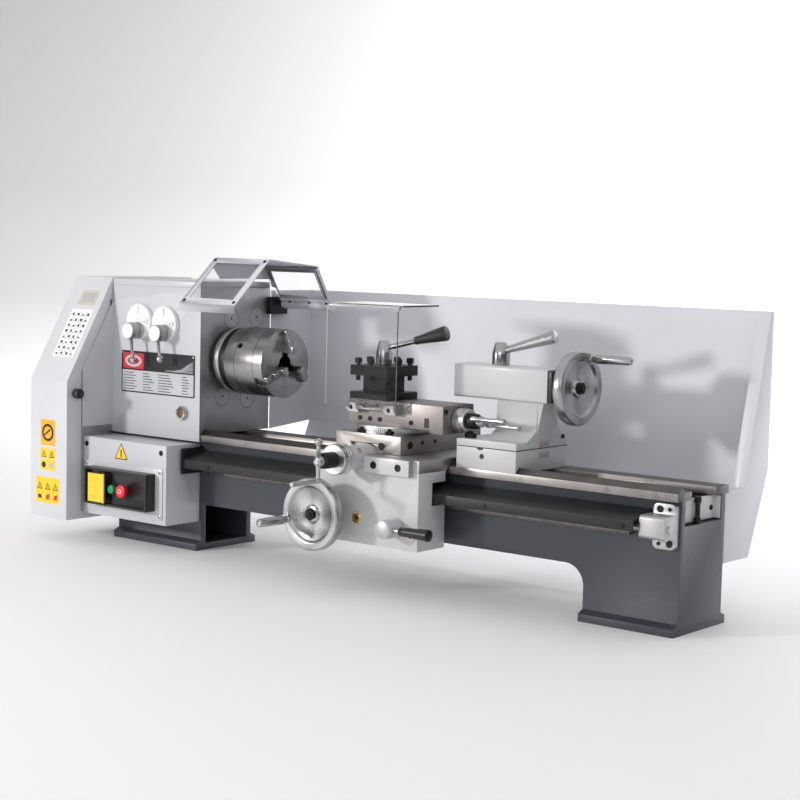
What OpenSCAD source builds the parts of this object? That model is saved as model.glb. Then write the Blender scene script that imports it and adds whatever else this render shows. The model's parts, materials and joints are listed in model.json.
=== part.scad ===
// Bench metal lathe: bed, headstock, chuck, carriage, tailstock, guards and controls.
// X runs along the bed toward the tailstock, Y points to the back, Z up, feet on Z = 0.

/* [Bed] */
// Length of the bed
bed_length = 1260; // [1100:10:1400]
// Half the depth of the bed casting
bed_half_depth = 67; // [60:1:75]
// Height of the underside of the bed between the feet
bed_belly_height = 88; // [75:1:100]
// Height of the flat tops of the ways
way_height = 221; // [210:1:230]
// Thickness of the bed walls
bed_wall = 12; // [8:1:16]
// Width of the left foot
left_foot_width = 230; // [180:5:260]
// Width of the right foot
right_foot_width = 172; // [140:2:200]
// Half the depth of the foot flanges
foot_half_depth = 80; // [72:1:90]
// Distance of the hold-down holes from the middle, along the bed
foot_hole_x = 545; // [500:5:560]
// Distance of the hold-down holes from the middle, across the bed
foot_hole_y = 45; // [35:1:50]
// Radius of the hold-down holes
foot_hole_r = 7; // [5:0.5:9]

/* [Headstock] */
// Height of the spindle axis
spindle_height = 360.5; // [350:0.5:370]
// Width of the headstock along the bed
head_width = 242; // [220:2:260]
// Position of the headstock's right face
head_right = -392; // [-400:1:-380]
// Front face of the headstock
head_front = -83; // [-90:1:-82]
// Rear face of the headstock
head_rear = 104; // [90:1:120]
// Top of the headstock casting, under its cover
head_top = 495; // [470:1:510]
// Thickness of the headstock's top cover
head_cover = 12; // [6:1:16]
// Wall thickness of the headstock
head_wall = 10; // [7:1:14]
// Outer radius of the spindle
spindle_r = 25; // [20:1:30]
// Radius of the hole through the spindle
spindle_bore_r = 13.5; // [10:0.5:17]
// Outer radius of the spindle bearings
bearing_r = 40; // [34:1:44]

/* [Chuck] */
// Radius of the chuck body
chuck_r = 63.8; // [55:0.5:70]
// Position of the chuck's front face
chuck_face = -254; // [-265:1:-245]
// Length of the chuck body
chuck_length = 96; // [70:1:100]
// Width of a chuck jaw
jaw_width = 14; // [10:0.5:18]
// Inner radius of the jaws at rest
jaw_gap_r = 20; // [14:1:26]

/* [Change gears] */
// Gear module of the change gears and the rack
gear_module = 1.5; // [1:0.25:2]
// Thickness of the change gears
gear_width = 12; // [8:1:16]
// Thinning of every tooth, for backlash
tooth_slack = 0.24; // [0.1:0.02:0.4]

/* [Covers] */
// Left face of the gear cover
cover_left = -742; // [-760:1:-730]
// Front face of the gear cover
cover_front = -196; // [-210:1:-185]
// Rear face of the gear cover
cover_rear = 130; // [115:1:150]
// Sheet thickness of the gear cover
cover_sheet = 3; // [2:0.5:4]
// Front face of the electrical box
box_front = -154; // [-165:1:-145]
// Width of the electrical box
box_width = 229; // [200:1:235]
// Rear plane of the splash guard
splash_rear = 225; // [210:1:240]
// Top of the splash guard
splash_top = 491; // [450:1:520]
// Sheet thickness of the guards
sheet = 1.5; // [1:0.1:2.5]

/* [Carriage] */
// Middle of the cross slide along the bed
cross_mid_x = 58.5; // [50:0.5:65]
// Left side of the apron
apron_left = -21; // [-30:1:-15]
// Width of the apron
apron_width = 216; // [200:1:220]
// Front face of the apron
apron_front = -160; // [-170:1:-150]
// Bottom of the apron
apron_bottom = 85; // [80:1:95]
// Top of the saddle
saddle_top = 235; // [232:0.5:240]
// Width of the cross slide
cross_width = 143; // [120:1:160]
// Front of the cross slide
cross_front = -128; // [-135:1:-120]
// Depth of the cross slide
cross_depth = 223; // [180:1:240]
// Top of the cross slide
cross_top = 267; // [262:0.5:270]
// Radius of the graduated swivel disc
swivel_r = 64; // [50:1:68]
// Depth of the compound's axis line
compound_y = -60; // [-66:1:-50]
// Left end of the top slide
top_left = -7; // [-15:1:0]
// Length of the top slide
top_length = 204; // [180:1:215]
// Width of the top slide
top_width = 84; // [70:1:90]
// Top of the top slide
top_height = 321; // [315:0.5:326]
// Side of the square toolpost
post_side = 82; // [70:1:86]
// Middle of the toolpost along the bed
post_x = 34.8; // [25:0.2:45]

/* [Handles] */
// Radius of the two handwheels
wheel_r = 61.5; // [50:0.5:65]
// Radius of the shafts that carry the handwheels
wheel_shaft_r = 8; // [6:0.5:10]
// Height of the apron handwheel's axis
wheel_height = 133; // [128:0.5:138]
// Position of the apron handwheel along the bed
wheel_x = 11.5; // [5:0.5:20]
// Height of the cross-feed axis
feed_height = 229; // [226:0.5:232]
// Height of the compound's feed axis
top_feed_height = 297; // [294:0.5:300]
// Reach of the compound's crank
top_crank_r = 22; // [16:0.5:23]

/* [Tailstock] */
// Left side of the tailstock base
tail_left = 210; // [206:1:230]
// Length of the tailstock base
tail_length = 120; // [100:1:130]
// Top of the tailstock base
tail_base_top = 269.5; // [260:0.5:270]
// Left end of the tailstock barrel
barrel_left = 162; // [155:1:175]
// Length of the tailstock barrel
barrel_length = 189; // [160:1:200]
// Side of the square tailstock barrel
barrel_side = 56; // [50:1:60]
// Radius of the quill
quill_r = 18; // [14:1:20]

/* [Clearances] */
// Radial running clearance of shafts in holes
run_gap = 0.05; // [0.02:0.01:0.1]
// Gap between surfaces that slide on each other
slide_gap = 0.1; // [0.05:0.01:0.3]
// Gap between neighbouring pieces that never touch
air_gap = 0.4; // [0.3:0.1:1]

/* [Hidden] */
$fn = 64;

bed_right = bed_length / 2;
bed_left = -bed_right;
way_under = way_height - 13;
way_front = -80;
way_rear = 78;
way_inner = 38;
ridge_y = -68;
ridge_height = 9;
floor_height = 12.5;
flange_slope = 6;
belly_fillet_r = 35;
rib_places = [-380, -190, 0, 190, 380];
head_left = head_right - head_width;
top_z = head_top + head_cover;
screw_y = -98;
screw_z = 168;
screw_r = 8;
rack_pitch_z = wheel_height + 18;
rack_rear = -bed_half_depth;
rack_front = rack_rear - 15;
rack_left = -330;
rack_teeth = 186;
pinion_teeth = 24;
gear_right = -706;
spindle_teeth = 40;
upper_teeth = 60;
lower_teeth = 50;
screw_teeth = 60;
upper_angle = 247;
post_top = 378.5;
post_base_top = 333;
shield_front = -126;
shield_left = -41;
shield_width = 156;
pin_y = -117;
pin_z = 308;
guard_left = head_right + 2;
guard_right = -250;
hinge_y = 129;
hinge_z = 465;
tube_r = 9;
post_screws = [for (q = [0:3]) for (s = [-30, -2]) [q * 90, s]];

module block(x0, x1, y0, y1, z0, z1)
    translate([x0, y0, z0]) cube([x1 - x0, y1 - y0, z1 - z0]);

module rod_x(x0, x1, y, z, r)
    translate([x0, y, z]) rotate([0, 90, 0]) cylinder(h = x1 - x0, r = r);

module rod_y(y0, y1, x, z, r)
    translate([x, y1, z]) rotate([90, 0, 0]) cylinder(h = y1 - y0, r = r);

module rod_z(z0, z1, x, y, r)
    translate([x, y, z0]) cylinder(h = z1 - z0, r = r);

// A profile drawn as (Y, Z) and swept along X.
module sweep_x(x0, x1)
    translate([x0, 0, 0]) rotate([90, 0, 90]) linear_extrude(height = x1 - x0) children();

// A profile drawn as (X, Z) and swept along Y.
module sweep_y(y0, y1)
    translate([0, y1, 0]) rotate([90, 0, 0]) linear_extrude(height = y1 - y0) children();

module round_box(w, h, r) {
    translate([r, 0]) square([w - 2 * r, h]);
    translate([0, r]) square([w, h - 2 * r]);
    for (x = [r, w - r])
        for (y = [r, h - r])
            translate([x, y]) circle(r = r);
}

module bed_side()
    difference() {
        union() {
            polygon([[bed_left, 0], [bed_left + left_foot_width, 0],
                [bed_left + left_foot_width, bed_belly_height],
                [bed_right - right_foot_width, bed_belly_height],
                [bed_right - right_foot_width, 0], [bed_right, 0],
                [bed_right, way_under], [bed_left, way_under]]);
            translate([bed_right - right_foot_width - belly_fillet_r,
                bed_belly_height - belly_fillet_r])
                square(belly_fillet_r);
        }
        translate([bed_right - right_foot_width - belly_fillet_r,
            bed_belly_height - belly_fillet_r])
            circle(r = belly_fillet_r);
    }

module foot(x0, x1)
    difference() {
        sweep_x(x0, x1) polygon([[-foot_half_depth, 0], [foot_half_depth, 0],
            [foot_half_depth, floor_height],
            [bed_half_depth, floor_height + flange_slope],
            [bed_half_depth - bed_wall, floor_height],
            [bed_wall - bed_half_depth, floor_height],
            [-bed_half_depth, floor_height + flange_slope],
            [-foot_half_depth, floor_height]]);
        for (x = [-foot_hole_x, foot_hole_x])
            for (y = [-foot_hole_y, foot_hole_y])
                rod_z(-1, floor_height + 1, x, y, foot_hole_r);
    }

module bed() color([0.28, 0.3, 0.34]) {
    for (y = [-bed_half_depth, bed_half_depth - bed_wall])
        sweep_y(y, y + bed_wall) bed_side();
    foot(bed_left, bed_left + left_foot_width);
    foot(bed_right - right_foot_width, bed_right);
    block(bed_left, bed_left + bed_wall, -bed_half_depth, bed_half_depth, 0, way_under);
    block(bed_right - bed_wall, bed_right, -bed_half_depth, bed_half_depth, 0, way_under - 40);
    block(bed_right - right_foot_width, bed_right - right_foot_width + bed_wall,
        -bed_half_depth, bed_half_depth, 0, bed_belly_height + bed_wall);
    for (x = rib_places)
        block(x, x + bed_wall, -bed_half_depth, bed_half_depth, bed_belly_height + bed_wall,
            way_under);
    sweep_x(bed_left, bed_right) polygon([[way_front, way_under], [-way_inner, way_under],
        [-way_inner, way_height], [ridge_y + ridge_height, way_height],
        [ridge_y, way_height + ridge_height], [ridge_y - ridge_height, way_height],
        [way_front, way_height]]);
    block(bed_left, bed_right, way_inner, way_rear, way_under, way_height);
}

module gear_rack() color([0.2, 0.2, 0.22])
    sweep_y(rack_front, rack_rear) {
        pitch = PI * gear_module;
        lean = tan(20);
        tip = pitch / 4 - tooth_slack / 4 - gear_module * lean;
        root = pitch / 4 - tooth_slack / 4 + 1.25 * gear_module * lean;
        teeth = [for (i = [0:rack_teeth - 1]) for (p = [[-root, 1.25], [-tip, -1],
            [tip, -1], [root, 1.25]])
            [wheel_x + (i + 0.5 - round((wheel_x - rack_left) / pitch)) * pitch + p[0],
                rack_pitch_z + p[1] * gear_module]];
        last = len(teeth) - 1;
        polygon(concat(teeth, [[teeth[last][0], rack_pitch_z + 12],
            [teeth[0][0], rack_pitch_z + 12]]));
    }

// Extra roll angle of an involute at pressure angle a.
function roll(a) = tan(a) * 180 / PI - a;

function half_tooth(n, base, rho) = 90 / n - tooth_slack / 4 / (n * gear_module / 2) * 180 / PI
    + roll(20) - roll(acos(min(1, base / max(rho, base))));

// One toothed disc with the middle of a tooth at the given angle.
module toothed_disc(n, phase) {
    pitch_r = n * gear_module / 2;
    base = pitch_r * cos(20);
    root = pitch_r - 1.25 * gear_module;
    flank = max(base, root + 0.3);
    tip = pitch_r + gear_module;
    steps = [[root, -1], [flank, -1], [pitch_r, -1], [tip, -1],
        [tip, 1], [pitch_r, 1], [flank, 1], [root, 1]];
    polygon([for (i = [0:n - 1]) for (s = steps)
        let (a = phase + 360 * i / n + s[1] * half_tooth(n, base, s[0]))
        [s[0] * cos(a), s[0] * sin(a)]]);
}

// Phase of a gear that meshes with another one lying in the direction theta from it.
function mesh(theta, n1, phase1, n2) =
    theta + 180 - 360 / n2 * (0.5 - (theta - phase1) * n1 / 360);

function reach(n1, n2) = (n1 + n2) * gear_module / 2 + 0.1;

upper_y = reach(spindle_teeth, upper_teeth) * cos(upper_angle);
upper_z = spindle_height + reach(spindle_teeth, upper_teeth) * sin(upper_angle);
to_screw_y = screw_y - upper_y;
to_screw_z = screw_z - upper_z;
span = sqrt(to_screw_y * to_screw_y + to_screw_z * to_screw_z);
span_angle = atan2(to_screw_z, to_screw_y);
near = reach(upper_teeth, lower_teeth);
far = reach(lower_teeth, screw_teeth);
bend = acos((near * near + span * span - far * far) / (2 * near * span));
lower_angle = span_angle + bend;
lower_y = upper_y + near * cos(lower_angle);
lower_z = upper_z + near * sin(lower_angle);
screw_angle = atan2(screw_z - lower_z, screw_y - lower_y);
upper_phase = mesh(upper_angle, spindle_teeth, 0, upper_teeth);
lower_phase = mesh(lower_angle, upper_teeth, upper_phase, lower_teeth);
screw_phase = mesh(screw_angle, lower_teeth, lower_phase, screw_teeth);

module change_gear(n, phase, y, z, bore)
    translate([0, y, z]) sweep_x(gear_right - gear_width, gear_right) difference() {
        toothed_disc(n, phase);
        circle(r = bore);
    }

module spindle_gear() color([0.5, 0.5, 0.52])
    change_gear(spindle_teeth, 0, 0, spindle_height, spindle_r - 6 + run_gap);

module idler_gear_upper() color([0.5, 0.5, 0.52])
    change_gear(upper_teeth, upper_phase, upper_y, upper_z, 10 + run_gap);

module idler_gear_lower() color([0.5, 0.5, 0.52])
    change_gear(lower_teeth, lower_phase, lower_y, lower_z, 10 + run_gap);

module leadscrew_gear() color([0.5, 0.5, 0.52])
    change_gear(screw_teeth, screw_phase, screw_y, screw_z, screw_r);

module gear_arm() color([0.35, 0.35, 0.38]) {
    arm_left = gear_right + 4;
    arm_right = arm_left + 10;
    difference() {
        union() {
            rod_x(arm_left, arm_right, screw_y, screw_z, 24);
            rod_x(arm_left, arm_right, lower_y, lower_z, 20);
            rod_x(arm_left, arm_right, upper_y, upper_z, 20);
            for (leg = [[screw_y, screw_z, lower_y, lower_z],
                [lower_y, lower_z, upper_y, upper_z]])
                translate([0, leg[0], leg[1]])
                    rotate([atan2(leg[3] - leg[1], leg[2] - leg[0]), 0, 0])
                        block(arm_left + 1, arm_right - 1, 13, norm([leg[2] - leg[0],
                            leg[3] - leg[1]]) - 13, -9.5, 9.5);
            rod_x(arm_right - 3, head_left, lower_y, lower_z, 13);
            rod_x(arm_right - 3, head_left, upper_y, upper_z, 13);
        }
        rod_x(arm_left - 1, arm_right + 1, screw_y, screw_z, screw_r + 1);
    }
    for (p = [[lower_y, lower_z], [upper_y, upper_z]]) {
        rod_x(gear_right - gear_width - 2, arm_left + 3, p[0], p[1], 10);
        rod_x(gear_right - gear_width - 5, gear_right - gear_width - air_gap, p[0], p[1], 14);
    }
}

module leadscrew() color([0.6, 0.6, 0.62])
    rod_x(gear_right - gear_width - 4, 606, screw_y, screw_z, screw_r);

module leadscrew_cover() color([0.08, 0.08, 0.09])
    sweep_x(-396, 578) polygon([[-bed_half_depth, 192], [-121, 178.5], [-121, 162],
        [-119.5, 162], [-119.5, 177.2], [-bed_half_depth, 190.5]]);

module leadscrew_brackets() color([0.15, 0.15, 0.16])
    difference() {
        union() {
            block(-400, -397, -122, -bed_half_depth, 150, 198);
            translate([588, 0, 134]) sweep_y(-79, -bed_half_depth) round_box(39, 70, 8);
            translate([0, -112, 152]) sweep_x(583, 627) round_box(38, 36, 6);
            rod_x(626, 629.5, screw_y, screw_z, 6);
        }
        rod_x(-405, -390, screw_y, screw_z, screw_r + run_gap);
        rod_x(580, 607, screw_y, screw_z, screw_r + run_gap);
    }

module headstock_casting() color([0.82, 0.83, 0.85])
    difference() {
        union() {
            block(head_left, head_right, head_front, head_rear, way_height + slide_gap, head_top);
            block(head_left, head_right, head_front, way_front - 0.3, way_under,
                way_height + slide_gap);
            intersection() {
                sweep_x(head_left - 2 - cover_sheet, head_left + 1) cover_opening(air_gap);
                block(head_left - 6, head_left + 2, cover_front, head_front + 8, 222, top_z);
            }
            sweep_x(head_left - 2 - cover_sheet, head_left - slide_gap)
                polygon([[cover_front + 36 + air_gap, 60], [cover_front + 56, 60],
                    [cover_front + 56, 204.5], [head_front + 8, 204.5], [head_front + 8, 223],
                    [cover_front + 36 + air_gap, 223]]);
            for (z = hinge_places) {
                block(head_left, head_left + 8, head_rear - 1, cover_rear - 2, z + 31, z + 59);
                block(head_left - 2, head_left + 8, cover_rear - 3.4, cover_rear, z + 31, z + 59);
                rod_z(z + 31, z + 59, head_left - 2, cover_rear, 4);
            }
        }
        block(head_left + head_wall, head_right - head_wall, head_front + head_wall,
            head_rear - head_wall, way_height + 24, head_top + 1);
        sweep_x(head_left - 1, head_right + 1) polygon([[ridge_y - 12, way_height - 1],
            [ridge_y + 12, way_height - 1], [ridge_y, way_height + 11]]);
        rod_x(head_left - 1, head_right + 1, 0, spindle_height, bearing_r + run_gap);
    }

module headstock_cover() color([0.82, 0.83, 0.85])
    block(head_left, head_right, head_front, head_rear, head_top, top_z);

module spindle_bearings() color([0.5, 0.5, 0.52])
    for (x = [head_left, head_right - head_wall - 8])
        difference() {
            rod_x(x, x + head_wall + 8, 0, spindle_height, bearing_r);
            rod_x(x - 1, x + head_wall + 9, 0, spindle_height, spindle_r + run_gap);
        }

module spindle() color([0.7, 0.7, 0.72])
    difference() {
        union() {
            rod_x(-690, -385, 0, spindle_height, spindle_r);
            rod_x(-728, -690, 0, spindle_height, spindle_r - 6);
            rod_x(-385, -372, 0, spindle_height, 57);
        }
        rod_x(-729, -371, 0, spindle_height, spindle_bore_r);
    }

module chuck_back_plate() color([0.07, 0.07, 0.08])
    difference() {
        rod_x(-372, chuck_face - chuck_length, 0, spindle_height, chuck_r - 3);
        rod_x(-373, chuck_face, 0, spindle_height, spindle_bore_r + 2);
    }

module around_spindle(a)
    translate([0, 0, spindle_height]) rotate([a, 0, 0]) translate([0, 0, -spindle_height])
        children();

module chuck_body() color([0.45, 0.45, 0.46])
    difference() {
        rod_x(chuck_face - chuck_length, chuck_face, 0, spindle_height, chuck_r);
        rod_x(chuck_face - chuck_length - 1, chuck_face + 1, 0, spindle_height,
            spindle_bore_r + 2);
        for (a = [0, 120, 240]) {
            around_spindle(a)
                block(chuck_face - 22, chuck_face + 1, -jaw_width / 2 - slide_gap,
                    jaw_width / 2 + slide_gap, spindle_height, spindle_height + chuck_r + 5);
            around_spindle(a + 60)
                rod_z(spindle_height + chuck_r - 18, spindle_height + chuck_r + 1,
                    chuck_face - 62, 0, 6);
        }
    }

module chuck_jaw(a)
    color([0.6, 0.6, 0.62]) around_spindle(a) translate([0, jaw_width / 2, 0])
        rotate([90, 0, 0]) linear_extrude(height = jaw_width)
            translate([0, spindle_height]) polygon([[chuck_face - 20, jaw_gap_r],
                [chuck_face + 25, jaw_gap_r], [chuck_face + 25, jaw_gap_r + 12],
                [chuck_face + 17, jaw_gap_r + 12], [chuck_face + 17, jaw_gap_r + 26],
                [chuck_face + 9, jaw_gap_r + 26], [chuck_face + 9, jaw_gap_r + 41],
                [chuck_face - 20, jaw_gap_r + 41]]);

module chuck_jaw_1() chuck_jaw(0);

module chuck_jaw_2() chuck_jaw(120);

module chuck_jaw_3() chuck_jaw(240);

module cover_outline() polygon([[cover_front, 43], [cover_rear, 43], [cover_rear, top_z + 1],
    [head_front, top_z + 1], [cover_front, 310]]);

// The wide opening of the cover's right wall; the headstock's back plate closes it.
module cover_opening(gap) polygon([[cover_front + 36 + gap, 58], [cover_rear - 12, 58],
    [cover_rear - 12, top_z - 12 - gap],
    [cover_front + 36 + gap * 1.2 + (top_z - 342) * 0.571, top_z - 12 - gap],
    [cover_front + 36 + gap, 330 - gap * 0.7]]);

hinge_places = [90, 400];

module cover_inside() polygon([[cover_front + cover_sheet, 43 + cover_sheet],
    [cover_rear - cover_sheet, 43 + cover_sheet],
    [cover_rear - cover_sheet, top_z + 1 - cover_sheet],
    [head_front + 2, top_z + 1 - cover_sheet], [cover_front + cover_sheet, 309.5]]);

module gear_cover() color([0.84, 0.85, 0.87]) {
    for (z = hinge_places)
        rod_z(z, z + 30 - slide_gap, head_left - 2, cover_rear, 4);
    difference() {
        sweep_x(cover_left, head_left - 2) cover_outline();
        sweep_x(cover_left + cover_sheet, head_left - 2 - cover_sheet) cover_inside();
        sweep_x(head_left - 3 - cover_sheet, head_left) cover_opening(0);
        for (z = hinge_places)
            rod_z(z + 30, z + 60, head_left - 2, cover_rear, 4 + air_gap);
    }
}

module gear_cover_knob() color([0.05, 0.05, 0.05]) {
    rod_x(head_left - 2, head_left + 2, -178, 287, 5);
    rod_x(head_left + 2, head_left + 18, -178, 287, 10);
}

module electrical_box() color([0.82, 0.83, 0.85]) {
    box_right = head_left + box_width;
    box_rear = -bed_half_depth;
    difference() {
        block(head_left, box_right, box_front, box_rear, 55, 204);
        block(head_left + 2, box_right - 2, box_front + 2, box_rear + 1, 57, 202);
        rod_x(head_left - 1, box_right + 1, screw_y, screw_z, 14);
    }
}

module switch_plate() color([0.8, 0.8, 0.8])
    block(-630, -413, box_front - 2, box_front, 65, 160);

module switch_housing() color([0.06, 0.06, 0.07]) {
    for (z = [82, 141.3])
        block(-549, -541, box_front - 31, box_front - 14, z, z + 2.7);
    difference() {
        block(-604, -432, box_front - 26, box_front - 2, 80, 150);
        block(-600, -436, box_front - 27, box_front - 14, 84, 146);
        rod_y(box_front - 15, box_front - 10, -529.5, 113, 6 + run_gap);
        rod_y(box_front - 15, box_front - 10, -497, 113, 6 + run_gap);
    }
}

module start_button() color([0.08, 0.55, 0.3]) {
    rod_y(box_front - 26, box_front - 17, -529.5, 113, 8);
    rod_y(box_front - 17, box_front - 12, -529.5, 113, 6);
}

module stop_button() color([0.84, 0.16, 0.2]) {
    rod_y(box_front - 32, box_front - 22, -497, 113, 12.5);
    rod_y(box_front - 22, box_front - 12, -497, 113, 6);
}

module switch_flap() color([0.92, 0.8, 0.3]) {
    block(-588, -545, box_front - 30, box_front - 28, 86, 140);
    rod_z(85, 141, -545, box_front - 29, 2);
}

module speed_dials() color([0.9, 0.9, 0.9])
    for (x = [[-553, 427], [-483, 425]])
        rod_y(head_front - 9, head_front, x[0], x[1], 33.5);

module speed_lever(x, z, dx, dz)
    color([0.1, 0.1, 0.11]) {
        base = head_front - 9.1;
        end = base - 28;
        rod_y(end, base, x, z, 16);
        translate([x, end + 8, z]) rotate([0, atan2(dx, dz), 0])
            cylinder(h = norm([dx, dz]), r = 4);
        translate([x + dx, end + 8, z + dz]) sphere(r = 7);
    }

module speed_lever_left() speed_lever(-553, 409.5, 9, -57);

module speed_lever_right() speed_lever(-479, 408, 9, -48);

module nameplate() color([0.1, 0.1, 0.12])
    block(-607, -405.5, head_front - 1, head_front, 289, 369);

module oil_sight_glass() color([0.7, 0.7, 0.72]) {
    rod_y(head_front - 8, head_front, -436, 259, 13);
}

// The guard's three panels, from the front bar over the top to the hinge.
guard_line = [[-139, 470], [-50, 553], [82, 541], [123, 472]];

module panel(p, q, x0, x1, t)
    translate([0, p[0], p[1]]) rotate([atan2(q[1] - p[1], q[0] - p[0]), 0, 0])
        block(x0, x1, 0, norm(q - p), -t, 0);

module guard_opening(p, q, rim)
    translate([0, p[0], p[1]]) rotate([atan2(q[1] - p[1], q[0] - p[0]), 0, 0])
        block(guard_left + rim, guard_right - rim, rim, norm(q - p) - rim, -6, 6);

module chuck_guard_frame() color([0.82, 0.83, 0.85]) {
    for (i = [0:2])
        difference() {
            panel(guard_line[i], guard_line[i + 1], guard_left, guard_right, 2);
            if (i != 1) guard_opening(guard_line[i], guard_line[i + 1], 14);
            guard_notch();
        }
    block(guard_left, guard_right, -141, -139, 455, 470);
    sweep_x(guard_left, guard_left + 1.5) polygon([[-36, 512], [97, 512], [82, 540],
        [-50, 551], [-60, 540]]);
    rod_x(head_right + 14, guard_right, hinge_y, hinge_z, tube_r);
}

module chuck_guard_windows() color([0.8, 0.85, 0.9, 0.4])
    for (i = [0, 2])
        difference() {
            panel(guard_line[i], guard_line[i + 1], guard_left + 6, guard_right - 6, 5);
            panel(guard_line[i], guard_line[i + 1], guard_left + 5, guard_right - 5, 2.1);
            guard_trim(guard_line[i], guard_line[i + 1]);
            guard_notch();
        }

// Room for the hinge block, all through the guard's swing.
module guard_notch() rod_x(guard_left - 1, head_right + 12 + air_gap, hinge_y, hinge_z, 39.4);

// Trims both ends of a window so it stays clear of the next panel.
module guard_trim(p, q)
    translate([0, p[0], p[1]]) rotate([atan2(q[1] - p[1], q[0] - p[0]), 0, 0])
        for (s = [-5, norm(q - p) - 9])
            block(guard_left, guard_right, s, s + 14, -8, 2);

module guard_hinge_block() color([0.06, 0.06, 0.07]) {
    difference() {
        block(head_right, head_right + 12, 96, hinge_y + 12, 445, 478);
        rod_x(head_right - 1, head_right + 13, hinge_y, hinge_z, 4);
    }
    block(head_right - 8, head_right + 4, head_rear, hinge_y - 6, 445, 478);
    rod_x(head_right, head_right + 13.6, hinge_y, hinge_z, 4);
}

module splash_guard() color([0.8, 0.8, 0.83]) {
    right = 620;
    bend_z = 231;
    sweep_x(head_right, right) polygon([[splash_rear, splash_top],
        [splash_rear, bend_z], [167, 93], [160, 93], [160, 98], [165.5, 98],
        [splash_rear - sheet, bend_z], [splash_rear - sheet, splash_top]]);
    difference() {
        sweep_x(head_right, head_right + sheet) polygon([[head_rear + 2, way_height],
            [splash_rear, bend_z], [splash_rear, splash_top], [head_rear + 2, splash_top]]);
        block(head_right - 1, head_right + 13, head_rear, hinge_y + 12 + slide_gap,
            445 - slide_gap, 478 + slide_gap);
    }
    sweep_x(right, right + sheet) polygon([[splash_rear, splash_top], [215, splash_top],
        [145, bend_z - 23], [84, bend_z - 23], [84, 93], [167, 93], [splash_rear, bend_z]]);
    translate([0, 215, splash_top]) rotate([atan2(bend_z - 23 - splash_top, -70), 0, 0])
        block(right - 20, right, 0, norm([70, splash_top - bend_z + 23]), 0, sheet);
}

module splash_brackets() color([0.2, 0.2, 0.22])
    for (x = [-300, 150, 560]) {
        block(x, x + 30, way_rear - 11, 176, 150, 154);
        block(x, x + 30, bed_half_depth, bed_half_depth + 4, 120, 154);
    }

apron_right = apron_left + apron_width;

module saddle() color([0.55, 0.55, 0.56])
    difference() {
        union() {
            block(apron_left, apron_right, apron_front, -84, 214, saddle_top);
            block(apron_left, apron_right, -84, 80, way_height + slide_gap, saddle_top);
            sweep_y(-120, 80) polygon([[cross_mid_x - 30, saddle_top],
                [cross_mid_x + 30, saddle_top], [cross_mid_x + 38, 249],
                [cross_mid_x - 38, 249]]);
            rod_y(-190, -120, cross_mid_x - 1.5, feed_height, 20.5);
            block(cross_mid_x + 30, apron_right - 12, apron_front - 12, apron_front,
                208, saddle_top);
        }
        sweep_x(apron_left - 1, apron_right + 1) polygon([[ridge_y - 12, way_height - 1],
            [ridge_y + 12, way_height - 1], [ridge_y, way_height + 11]]);
        rod_y(-191, -95, cross_mid_x - 1.5, feed_height, wheel_shaft_r + run_gap);
    }

module apron() color([0.88, 0.88, 0.88])
    difference() {
        sweep_x(apron_left, apron_right) polygon([[apron_front, apron_bottom],
            [-88, apron_bottom], [-88, 158], [-123, 158], [-123, 196], [-88, 196],
            [-88, 214], [apron_front, 214]]);
        rod_y(apron_front - 1, -87, wheel_x, wheel_height, wheel_shaft_r + run_gap);
        rod_y(apron_front - 1, apron_front + 20, 150, 121, 7 + run_gap);
        rod_y(apron_front - 1, -119, cross_mid_x - 1.5, feed_height, 20.5 + slide_gap);
    }

// Handwheel with its hub toward -Z and its dished face toward +Z.
module handwheel_body() rotate_extrude($fn = 96) polygon([[0, 0], [14, 0], [14, 16],
    [wheel_r - 15, 24], [wheel_r - 11, 16], [wheel_r - 2, 16], [wheel_r, 18],
    [wheel_r, 32], [wheel_r - 2, 34], [wheel_r - 13, 34], [wheel_r - 16, 30],
    [16, 24], [10, 30], [10, 38], [0, 38]]);

module grip(length)
    rotate_extrude() polygon([[0, 0], [5, 0], [5, 6], [8, 12], [7, length - 4],
        [4, length], [0, length]]);

module apron_handwheel() color([0.75, 0.75, 0.77]) {
    translate([wheel_x, -186, wheel_height]) rotate([90, 0, 0]) {
        handwheel_body();
        rotate([0, 0, 195]) translate([wheel_r - 10, 0, 33.5]) grip(72);
    }
    rod_y(-186, -90, wheel_x, wheel_height, wheel_shaft_r);
}

module apron_pinion() color([0.5, 0.5, 0.52])
    translate([wheel_x, 0, wheel_height]) {
        sweep_y(rack_front + 0.5, rack_rear - 2) toothed_disc(pinion_teeth, 90);
        rod_y(-90, rack_front + 0.5, 0, 0, wheel_shaft_r);
    }

module half_nut_lever() color([0.5, 0.5, 0.52]) {
    hub_y = -198;
    rod_y(hub_y, apron_front - 0.1, 150, 121, 16);
    rod_y(apron_front - 0.1, apron_front + 18, 150, 121, 7);
    rod_x(150, 180, hub_y + 12, 121, 4);
    translate([180, hub_y + 12, 121]) rotate([0, 90, 0])
        cylinder(h = 60, r1 = 7.5, r2 = 10);
}

module cross_slide() color([0.5, 0.5, 0.51])
    difference() {
        block(cross_mid_x - cross_width / 2, cross_mid_x + cross_width / 2, cross_front,
            cross_front + cross_depth, saddle_top + slide_gap, cross_top);
        sweep_y(cross_front - 1, cross_front + cross_depth + 1) polygon([
            [cross_mid_x - 30 - slide_gap * 2, saddle_top],
            [cross_mid_x + 30 + slide_gap * 2, saddle_top],
            [cross_mid_x + 39, 250.3], [cross_mid_x - 39, 250.3]]);
    }

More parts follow.
